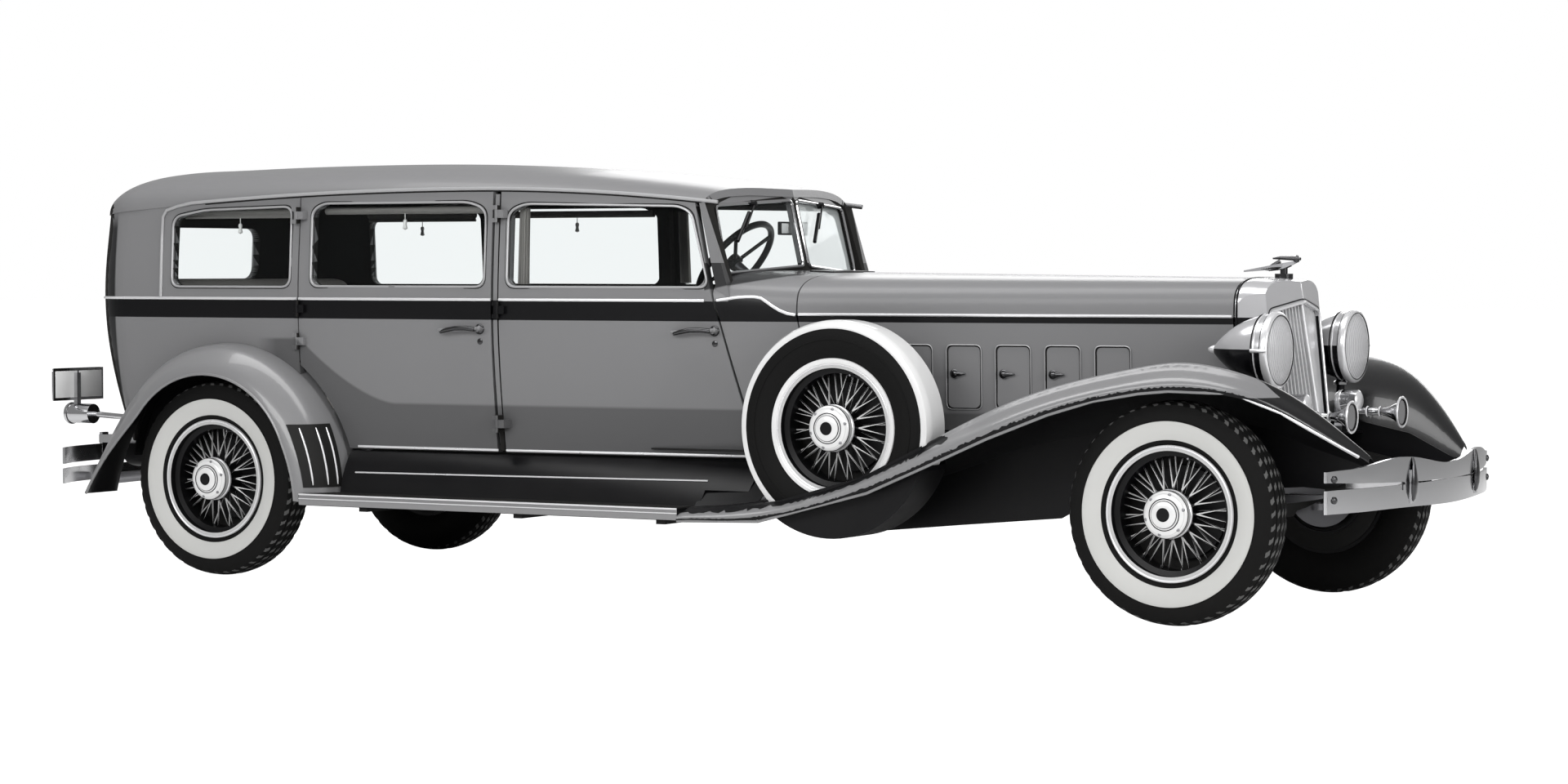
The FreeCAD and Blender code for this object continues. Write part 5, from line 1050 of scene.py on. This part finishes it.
for hand, s in HANDS:
    rows = [[(-1.0, s * y, z) for y in steps(0.715, 0.884, 9)] for z in steps(0.385, 0.640, 12)]
    guard = Pile().strip(patch(REAR_FENDERS, rows, (-1, 0, 0), 0.001), 0.002)
    guard.make(f"stone_guard_{hand}", rubber, slot="black_paint")
    ribs = Pile()
    for y in (0.745, 0.800, 0.855):
        line = met(REAR_FENDERS, [(-1.0, s * y, z) for z in steps(0.395, 0.625, 10)], (-1, 0, 0), 0.004)
        ribs.sweep(line, [0.002] + [0.004] * (len(line) - 2) + [0.002])
    ribs.make(f"stone_ribs_{hand}", bright_line, slot="bright")


def board_line(y, z):
    """Line along the running board's edge."""
    return [(x, y, z) for x in (-1.552, -0.6, 0.2495)]


boards = Pile()
for k in range(8):
    y = 0.768 + 0.0155 * k
    boards.box((-1.545, y, 0.3595), (0.245, y + 0.009, 0.3635))
boards.both().make("board_ribs", rubber, slot="black_paint")
edges = Pile().sweep(board_line(0.8965, 0.336), 0.020, up=(0, 1, 0), ratio=0.14)
edges.both().make("board_edges", plain_grey, slot="fender_paint")
lines = Pile().sweep(board_line(0.8975, 0.359), 0.0035).sweep(board_line(0.8985, 0.342), 0.0022)
lines.both().make("board_lines", bright_line, slot="bright")
APRON = surface("running_boards")
for hand, s in HANDS:
    line = met(APRON, [(x, s * 2, 0.452 + 0.006 * x) for x in steps(-1.47, 0.244, 24)], (0, -s, 0), 0.001)
    Pile().sweep(line, 0.0036, 6).make(f"apron_line_{hand}", bright_line, "root", slot="bright")


# Tail

TAIL_RIM = [(-0.012, 0.0425), (-0.010, 0.0465), (-0.002, 0.0475), (0.005, 0.044), (0.006, 0.038)]
TAIL_LENS = [(0.001, 0.0395), (0.008, 0.036), (0.013, 0.022), (0.015, 0.0)]
FUEL_CAP = [(0, 0.030), (0.010, 0.032), (0.018, 0.030), (0.020, 0.0)]
for hand, s in HANDS:
    place = (-2.925, s * 0.700, 0.655)
    rim = Pile().lathe(TAIL_RIM, place, (-1, 0, 0), 40)
    rim.make(f"tail_rim_{hand}", chrome, smooth=50, slot="bright")
    lens = Pile().lathe(TAIL_LENS, place, (-1, 0, 0), 40)
    lens.make(f"tail_lens_{hand}", red_glass, smooth=60, slot="lens")
plate = Pile().box((-2.9085, -0.834, 0.718), (-2.9052, -0.526, 0.844))
plate.make("blank_plate", cover_paint, bevel=0.001)
TAIL = surface("tail_lamps", "rear_bumper")
for name, y0, y1 in (("outer", -0.828, -0.690), ("inner", -0.676, -0.532)):
    face = meet(TAIL, (-2.6, (y0 + y1) / 2, 0.775), (-1, 0, 0))[0].x
    back = Pile().box((face - 0.0005, y0, 0.724), (face + 0.002, y1, 0.838))
    back.make(f"plate_back_{name}", cover_paint, bevel=0.0008)
rim = corner_points([(-0.838, 0.714), (-0.522, 0.714), (-0.522, 0.848), (-0.838, 0.848)], 0.012)
rim = Pile().sweep([(-2.9065, y, z) for y, z in rim], 0.003, closed=True)
rim.make("plate_rim", chrome, slot="bright")
fuel = Pile().lathe(FUEL_CAP, (-2.870, 0.30, 0.575), (-1, 0, 0.3), 24)
fuel.make("fuel_cap", chrome, smooth=50, slot="bright")


# Windshield, cabin and cushions

def shield_x(y, z):
    """Outer face of the windshield's vee."""
    return 0.320 - 0.077 * abs(y) / 0.560 - (0.067 / 0.292) * (z - 1.268)


shield = corner_points([(0.020, 1.288), (0.524, 1.258), (0.512, 1.526), (0.020, 1.552)], 0.025)
for hand, s in HANDS:
    loop = Pile().sweep([(shield_x(y, z) + 0.002, s * y, z) for y, z in shield], 0.007, closed=True)
    loop.make(f"shield_frame_{hand}", chrome, slot="bright")
wipers = Pile()
for top in (-0.280, 0.262):
    arm = [(top - 0.085 * t, 1.535 - 0.095 * t) for t in steps(0, 1, 5)]
    blade = [(top - 0.040 - 0.110 * t, 1.500 - 0.115 * t) for t in steps(0, 1, 5)]
    wipers.sweep([(shield_x(y, z) + 0.018, y, z) for y, z in arm], 0.004)
    wipers.sweep([(shield_x(y, z) + 0.012, y, z) for y, z in blade], 0.008)
    wipers.lathe([(0, 0.014), (0.022, 0.012), (0.024, 0)], (shield_x(top, 1.535), top, 1.535), AHEAD, 20)
wipers.make("wipers", black_paint, slot="bright")
mirror = Pile().box((0.222, -0.075, 1.412), (0.238, 0.150, 1.466))
mirror.sweep([(0.231, 0.038, 1.460), (0.226, 0.020, 1.500), (0.212, 0, 1.545)], 0.005)
mirror.make("inside_mirror", black_paint, bevel=0.004, slot="bright")
mirror = Pile().box((0.2375, -0.068, 1.419), (0.2405, 0.143, 1.459))
mirror.make("mirror_back", cover_paint, bevel=0.001, slot="bright")

rows = []
for x in steps(-2.62, 0.10, 36):
    half = side_y(x, 1.5) - 0.062
    rows.append([(x, y, 1.30) for y in steps(-half, half, 13)])
Pile().strip(patch(surface("roof"), rows, (0, 0, 1), 0.004), 0.002).make("ceiling_cloth", lining)

WINDER = [(0, 0.022), (0.008, 0.020), (0.020, 0.008), (0.030, 0.008)]


def door_card(owner, x0, x1, hand, s, low=0.640, top=1.190):
    """Padded trim inside a door, with a pull and a winder."""
    body = f"{owner}_{hand}"
    rows = []
    for z in steps(low, top, 8):
        end = min(x1, front_edge(z) - 0.06) if owner == "front_door" else x1
        rows.append([(Vector(on_side(x, z, s, -0.0415)), Vector((0, -s, 0))) for x in steps(x0, end, 10)])
    Pile().strip(rows, 0.006).make(f"card_{body}", cloth, body)
    mid = x1 - 0.22
    y = side_y(mid, 1.02) - 0.048
    fittings = Pile().lathe(WINDER, (mid, s * y, 1.02), (0, -s, 0), 20)
    fittings.sweep([(mid, s * (y - 0.028), 1.02), (mid - 0.05, s * (y - 0.032), 0.99),
                    (mid - 0.10, s * (y - 0.030), 0.975)], 0.006)
    fittings.make(f"card_fittings_{body}", chrome, body, slot="bright")


for hand, s in HANDS:
    door_card("rear_door", -1.59, -0.80, hand, s, low=0.700)
    door_card("front_door", -0.655, 0.30, hand, s)

TASSEL = [(0, 0.0), (0.004, 0.007), (0.012, 0.009), (0.022, 0.006), (0.040, 0.010), (0.045, 0.0)]
blinds, cords, drapes = Pile(), Pile(), Pile()
for s in (1, -1):
    inwards = Vector((0, -s, 0))
    for x0, x1, low in ((-2.330, -1.745, 1.492), (-1.600, -0.800, 1.505)):
        mid = (x0 + x1) / 2
        y = side_y(mid, 1.45) - 0.060
        blinds.strip([[(Vector((x, s * y, z)), inwards) for x in steps(x0, x1, 6)]
                      for z in (low, low + 0.01, 1.520)], 0.0015)
        blinds.sweep([(x0, s * (y - 0.003), 1.515), (x1, s * (y - 0.003), 1.515)], 0.014, 12)
        blinds.sweep([(x0, s * (y - 0.001), low), (x1, s * (y - 0.001), low)], 0.006)
        cords.sweep([(mid, s * (y + 0.002), low), (mid, s * (y + 0.002), low - 0.03)], 0.0018)
        cords.lathe(TASSEL, (mid, s * (y + 0.002), low - 0.025), (0, 0, -1), 16)
    rows = []
    for z in steps(1.215, 1.520, 8):
        row = []
        for i in range(25):
            x, deep = -0.658 + 0.0019 * i * (1 + 0.4 * (1.52 - z)), 0.055 + 0.008 * math.sin(i * 1.2)
            row.append((Vector(on_side(x, z, s, -deep)), inwards))
        rows.append(row)
    drapes.strip(rows, 0.002)
blinds.make("window_shades", shade_cloth)
cords.make("shade_tassels", pale)
drapes.make("curtains", cloth)

dials, faces = Pile(), Pile()
for y, r in ((0.33, 0.052), (0.20, 0.036), (0.06, 0.044), (-0.08, 0.036), (-0.36, 0.060)):
    rim = [(-0.002, r + 0.004), (0.005, r + 0.004), (0.008, r - 0.001), (0.003, r - 0.004)]
    dials.lathe(rim, (DASH_X, y, 1.185), (-1, 0, 0))
    faces.lathe([(0.002, r - 0.003), (0.003, 0.0)], (DASH_X, y, 1.185), (-1, 0, 0))
dials.make("dial_rims", chrome, slot="bright")
faces.make("dial_faces", pale)
LEVER_KNOB = [(0, 0.0), (0.006, 0.016), (0.020, 0.022), (0.034, 0.016), (0.040, 0.0)]
levers = Pile()
levers.sweep([(0.16, 0.0, 0.568), (0.15, 0.0, 0.70), (0.08, 0.01, 0.86), (0.02, 0.015, 1.00)], 0.008, 10)
levers.lathe(LEVER_KNOB, (0.012, 0.015, 0.985), (-0.35, 0, 0.94), 20)
levers.sweep([(0.22, 0.10, 0.568), (0.18, 0.10, 0.75), (0.12, 0.10, 0.93)], 0.009, 10)
for y in (0.24, 0.42, 0.50):
    levers.sweep([(0.49, y, 0.66), (0.44, y, 0.70), (0.41, y, 0.74)], 0.007)
    levers.box((0.395, y - 0.025, 0.725), (0.405, y + 0.025, 0.785))
levers.make("levers_and_pedals", black_paint, slot="iron")
COLUMN_AXIS = (-0.779, 0, 0.627)
horn_button = [(0.012, 0.030), (0.020, 0.030), (0.026, 0.022), (0.030, 0.008), (0.031, 0.0)]
horn_button = Pile().lathe(horn_button, (-0.225, 0.350, 1.302), COLUMN_AXIS)
horn_button.make("horn_button", chrome, "steering_wheel", smooth=60, slot="bright")
apron = Pile()
for s in (1, -1):
    xs = steps(0.232, 0.515, 8)
    outer = [Vector((x, s * 0.752, 0.346 + 0.084 * (x - 0.25))) for x in xs]
    inner = [Vector((x, s * (side_y(x, 0.531) - 0.006), 0.529)) for x in xs]
    slope = Vector((0, s * 0.8, 0.6))
    apron.strip([[(a.lerp(b, t), slope) for a, b in zip(outer, inner)] for t in steps(0, 1, 5)], 0.003)
apron.make("front_apron", black_paint, slot="black_paint")
mat = Pile().box((-0.05, -0.60, CABIN_FLOOR), (0.42, 0.60, CABIN_FLOOR + 0.006))
mat.make("front_mat", rubber, bevel=0.002)
carpet = Pile().box((-1.325, -0.62, CABIN_FLOOR), (-0.62, 0.62, CABIN_FLOOR + 0.008))
carpet.make("rear_carpet", lining, bevel=0.002)


def evaluated(piece):
    """The piece's mesh with its modifiers worked in."""
    bpy.context.view_layer.update()
    graph = bpy.context.evaluated_depsgraph_get()
    return bpy.data.meshes.new_from_object(piece.evaluated_get(graph))


def shaped(piece):
    """Gives a piece the mesh of its modifiers."""
    piece.data = evaluated(piece)
    piece.modifiers.clear()


FRAMES, SWELL = 20, 0.022


def stuffed(piece, half, pleat, base):
    """Blows a cushion up between its seams, held to a swell of SWELL, and rounds it off."""
    rest = [v.co.copy() for v in piece.data.vertices]
    held = []
    for v in piece.data.vertices:
        across = abs((v.co.y + half) % pleat - pleat / 2)
        if across > pleat / 2 - 0.009 or v.co.z < base + 0.02 or abs(v.co.y) > half - 0.01:
            held.append(v.index)
    piece.vertex_groups.new(name="seams").add(held, 1.0, "REPLACE")
    sim = piece.modifiers.new("stuffing", "CLOTH")
    sim.settings.use_pressure = True
    sim.settings.uniform_pressure_force = 4
    sim.settings.vertex_group_mass = "seams"
    sim.settings.effector_weights.gravity = 0
    sim.settings.quality = 6
    sim.point_cache.frame_start = 1
    sim.point_cache.frame_end = FRAMES
    for number in range(1, FRAMES + 1):
        bpy.context.scene.frame_set(number)
    shaped(piece)
    bpy.context.scene.frame_set(1)
    for v, start in zip(piece.data.vertices, rest):
        move = v.co - start
        if move.length > SWELL:
            v.co = start + move.normalized() * SWELL
    round_off = piece.modifiers.new("round", "SUBSURF")
    round_off.levels = 1
    round_off.render_levels = 1
    shaped(piece)


def cushion(name, outline, half, pleat, node=None):
    """Stuffed cushion across the car: outline in X and Z; seams hold its pleats down."""
    form = bmesh.new()
    face = form.faces.new([form.verts.new((x, -half, z)) for x, z in outline])
    made = bmesh.ops.extrude_face_region(form, geom=[face])
    bmesh.ops.translate(form, verts=verts_of(made["geom"]), vec=(0, 2 * half, 0))
    bmesh.ops.recalc_face_normals(form, faces=form.faces)
    bmesh.ops.bevel(form, geom=form.edges[:], offset=0.028, affect="EDGES", segments=3, profile=0.5,
                    material=-1)
    data = bpy.data.meshes.new(name)
    form.to_mesh(data)
    form.free()
    piece = bpy.data.objects.new(name, data)
    bpy.context.scene.collection.objects.link(piece)
    remesh = piece.modifiers.new("even", "REMESH")
    remesh.mode = "VOXEL"
    remesh.voxel_size = 0.016
    shaped(piece)
    stuffed(piece, half, pleat, min(z for _, z in outline))
    piece.data.materials.clear()
    piece.data.materials.append(cloth)
    piece.data.shade_smooth()
    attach(piece, "root")
    if node:
        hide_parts(node)


FRONT_HALF, FRONT_PLEAT, REAR_HALF, REAR_PLEAT = 0.518, 0.148, 0.588, 0.147
cushion("front_cushion", [(-0.060, 0.730), (-0.060, 0.855), (-0.110, 0.900), (-0.445, 0.878),
                          (-0.480, 0.730)], FRONT_HALF, FRONT_PLEAT, "front_seat")
cushion("front_back_rest", [(-0.440, 0.872), (-0.515, 1.185), (-0.588, 1.195), (-0.566, 0.600),
                            (-0.500, 0.600)], FRONT_HALF, FRONT_PLEAT)
cushion("rear_cushion", [(-1.765, 0.760), (-1.763, 0.895), (-1.810, 0.936), (-2.280, 0.908),
                         (-2.300, 0.760)], REAR_HALF, REAR_PLEAT, "rear_seat")
cushion("rear_back_rest", [(-2.262, 0.905), (-2.400, 1.225), (-2.498, 1.235), (-2.600, 0.760),
                           (-2.310, 0.760)], REAR_HALF, REAR_PLEAT)
plinths = Pile().box((-0.555, -0.510, CABIN_FLOOR), (-0.075, 0.510, 0.745))
plinths.box((-2.600, -0.580, 0.7130), (-1.780, 0.580, 0.790))
plinths.make("seat_plinths", wood, bevel=0.004)


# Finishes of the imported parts

PILLAR_JAMBS = (-0.775, -1.610)


def lines_cabin(name, face, rear, front):
    """Whether a face of a panel lines the cabin; rear and front are the ends of its upper part."""
    x, y, z = face.center
    n = face.normal
    turned_in = n.y * y < -0.02
    if name == "cowl":
        inner = abs(y) < side_y(min(x, 0.36), z) - 0.012
        return inner and x < 0.56 and (n.z < -0.2 or n.x < -0.5 or turned_in)
    deep = abs(y) < side_y(x, min(z, 1.58)) - 0.022
    across = abs(n.x) > 0.5
    if "door" in name and across and (z < WINDOW_SILL or x - rear < 0.05 or front - x < 0.05):
        return False
    if name == "rear_body" and across and z < ROOF_START:
        if min(abs(x - jamb) for jamb in PILLAR_JAMBS) < 0.07:
            return True
    if z > ROOF_START:
        return n.z < -0.05 and deep
    return deep and x < 0.50 and x > back_x(z) + 0.022 and (turned_in or across or n.z > 0.3)


def second_tone(name, face, corners):
    """Whether a face of a part takes its second finish; corners are the places of its vertices."""
    x, y, z = face.center
    n = face.normal
    if name == "front_fenders":
        return n.z < -0.12 or (abs(y) < 0.500 and n.z < 0.35) or (z < 0.66 and x < 1.45 and abs(y) < 0.870)
    if name == "rear_fenders":
        away = max(math.hypot(x - REAR_X, z - AXLE_Z), 1e-6)
        facing = (n.x * (x - REAR_X) + n.z * (z - AXLE_Z)) / away
        return facing < -0.1 or abs(n.y) > 0.9 and abs(y) < 0.7
    if name in WHEELS or name == "spare_wheels":
        cx, cy, cz = WHEELS.get(name, (SPARE[0], math.copysign(SPARE[1], y), SPARE[2]))
        away = math.hypot(x - cx, z - cz)
        out = (y - cy) * math.copysign(1, y)
        reach = max(math.hypot(p.x - cx, p.z - cz) for p in corners)
        return away > 0.165 and reach < WHEEL_RIM or out < -0.020 or (away < 0.09 and out < 0.058)
    return name == "floor" and z > 0.60 and -0.76 < x < -0.70 and abs(n.y) > 0.5 and n.y * y > 0


LOOKS = {
    "body_paint": body_paint, "fender_paint": fender_paint, "black_paint": black_paint, "steel": steel,
    "chassis_paint": chassis_paint, "wheel_paint": spoke_paint, "bright": chrome, "tyre": rubber,
    "glass": glass, "lens": lens_glass, "seat_cloth": cloth, "trim_wood": wood, "floor_board": lining,
    "rim_plastic": black_paint, "iron": iron,
}
OWN_LOOKS = {
    "headlamps": lamp_painted_reflection, "radiator_shell": shell_painted_reflection, "radiator_cap": metal_painted_dark, "grille": bright_line,
}
LINED = ("rear_body", "roof", "cowl", "windshield_frame", "rear_door_left", "rear_door_right",
         "front_door_left", "front_door_right")
for part in frame["record"]["subparts"]:
    name = part["node"]
    data = NODES[name].data
    data.materials.clear()
    data.materials.append(OWN_LOOKS.get(name) or LOOKS[part["material_slot"]])
    data.materials.append(lining if name in LINED else body_paint if name == "floor" else black_paint)
    if name in LINED:
        upper = [v.co.x for v in data.vertices if v.co.z > WINDOW_SILL]
        rear, front = min(upper), max(upper)
    for face in data.polygons:
        if name in LINED:
            pick = lines_cabin(name, face, rear, front)
        else:
            pick = second_tone(name, face, [data.vertices[v].co for v in face.vertices])
        face.material_index = int(pick)


# Light, floor and camera

def studio_white():
    """White that shows brighter to the camera, so that the floor runs into the backdrop."""
    made, tree, shader = new_material(
        "studio white", {"Base Color": (0.80, 0.80, 0.80, 1), "Roughness": 0.9, "Specular IOR Level": 0.0})
    glow = set_inputs(tree.nodes.new("ShaderNodeEmission"), {"Color": (1, 1, 1, 1), "Strength": 1.35})
    path = tree.nodes.new("ShaderNodeLightPath")
    mix_shaders(tree, Field(tree, path.outputs["Is Camera Ray"]) * 0.78, shader, glow)
    return made


def area_light(name, place, aim, size_x, size_y, power):
    data = bpy.data.lights.new(name, "AREA")
    data.shape = "RECTANGLE"
    data.size, data.size_y, data.energy = size_x, size_y, power
    lamp = bpy.data.objects.new(name, data)
    bpy.context.scene.collection.objects.link(lamp)
    lamp.location = place
    lamp.rotation_euler = (Vector(aim) - Vector(place)).to_track_quat("-Z", "Y").to_euler()


floor_form = bmesh.new()
bmesh.ops.create_grid(floor_form, x_segments=1, y_segments=1, size=90)
floor_data = bpy.data.meshes.new("studio_floor")
floor_form.to_mesh(floor_data)
floor_form.free()
floor_data.materials.append(studio_white())
studio_floor = bpy.data.objects.new("studio_floor", floor_data)
bpy.context.scene.collection.objects.link(studio_floor)

area_light("overhead", (0.0, -1.0, 6.5), (0.0, 0.0, 0.8), 9.0, 3.0, 520)
area_light("side_window", (1.0, -9.0, 4.2), (0.0, 0.0, 0.9), 11.0, 2.6, 760)
area_light("front_window", (9.0, -2.5, 3.0), (1.0, 0.0, 0.8), 3.5, 3.0, 330)
area_light("far_side", (-1.0, 8.0, 4.0), (0.0, 0.0, 0.9), 9.0, 2.5, 260)

world = bpy.data.worlds.new("studio")
bpy.context.scene.world = world
world.use_nodes = True
tree = world.node_tree
backdrop = set_inputs(tree.nodes["Background"], {"Color": (1, 1, 1, 1)})
path = tree.nodes.new("ShaderNodeLightPath")
tree.links.new((Field(tree, path.outputs["Is Camera Ray"]) * 0.62 + 0.38).socket, backdrop.inputs["Strength"])

CAMERA_TURN, CAMERA_TILT = 29.70, 2.016
camera_data = bpy.data.cameras.new("photo_view")
camera_data.lens = 82.0
camera_data.sensor_width = 36.0
camera = bpy.data.objects.new("photo_view", camera_data)
bpy.context.scene.collection.objects.link(camera)
camera.location = (7.3575, -12.5303, 1.2866)
turn, tilt = math.radians(CAMERA_TURN), math.radians(CAMERA_TILT)
forward = Vector((-math.sin(turn) * math.cos(tilt), math.cos(turn) * math.cos(tilt), -math.sin(tilt)))
camera.rotation_euler = forward.to_track_quat("-Z", "Y").to_euler()
bpy.context.scene.camera = camera
bpy.context.scene.view_settings.view_transform = "Standard"
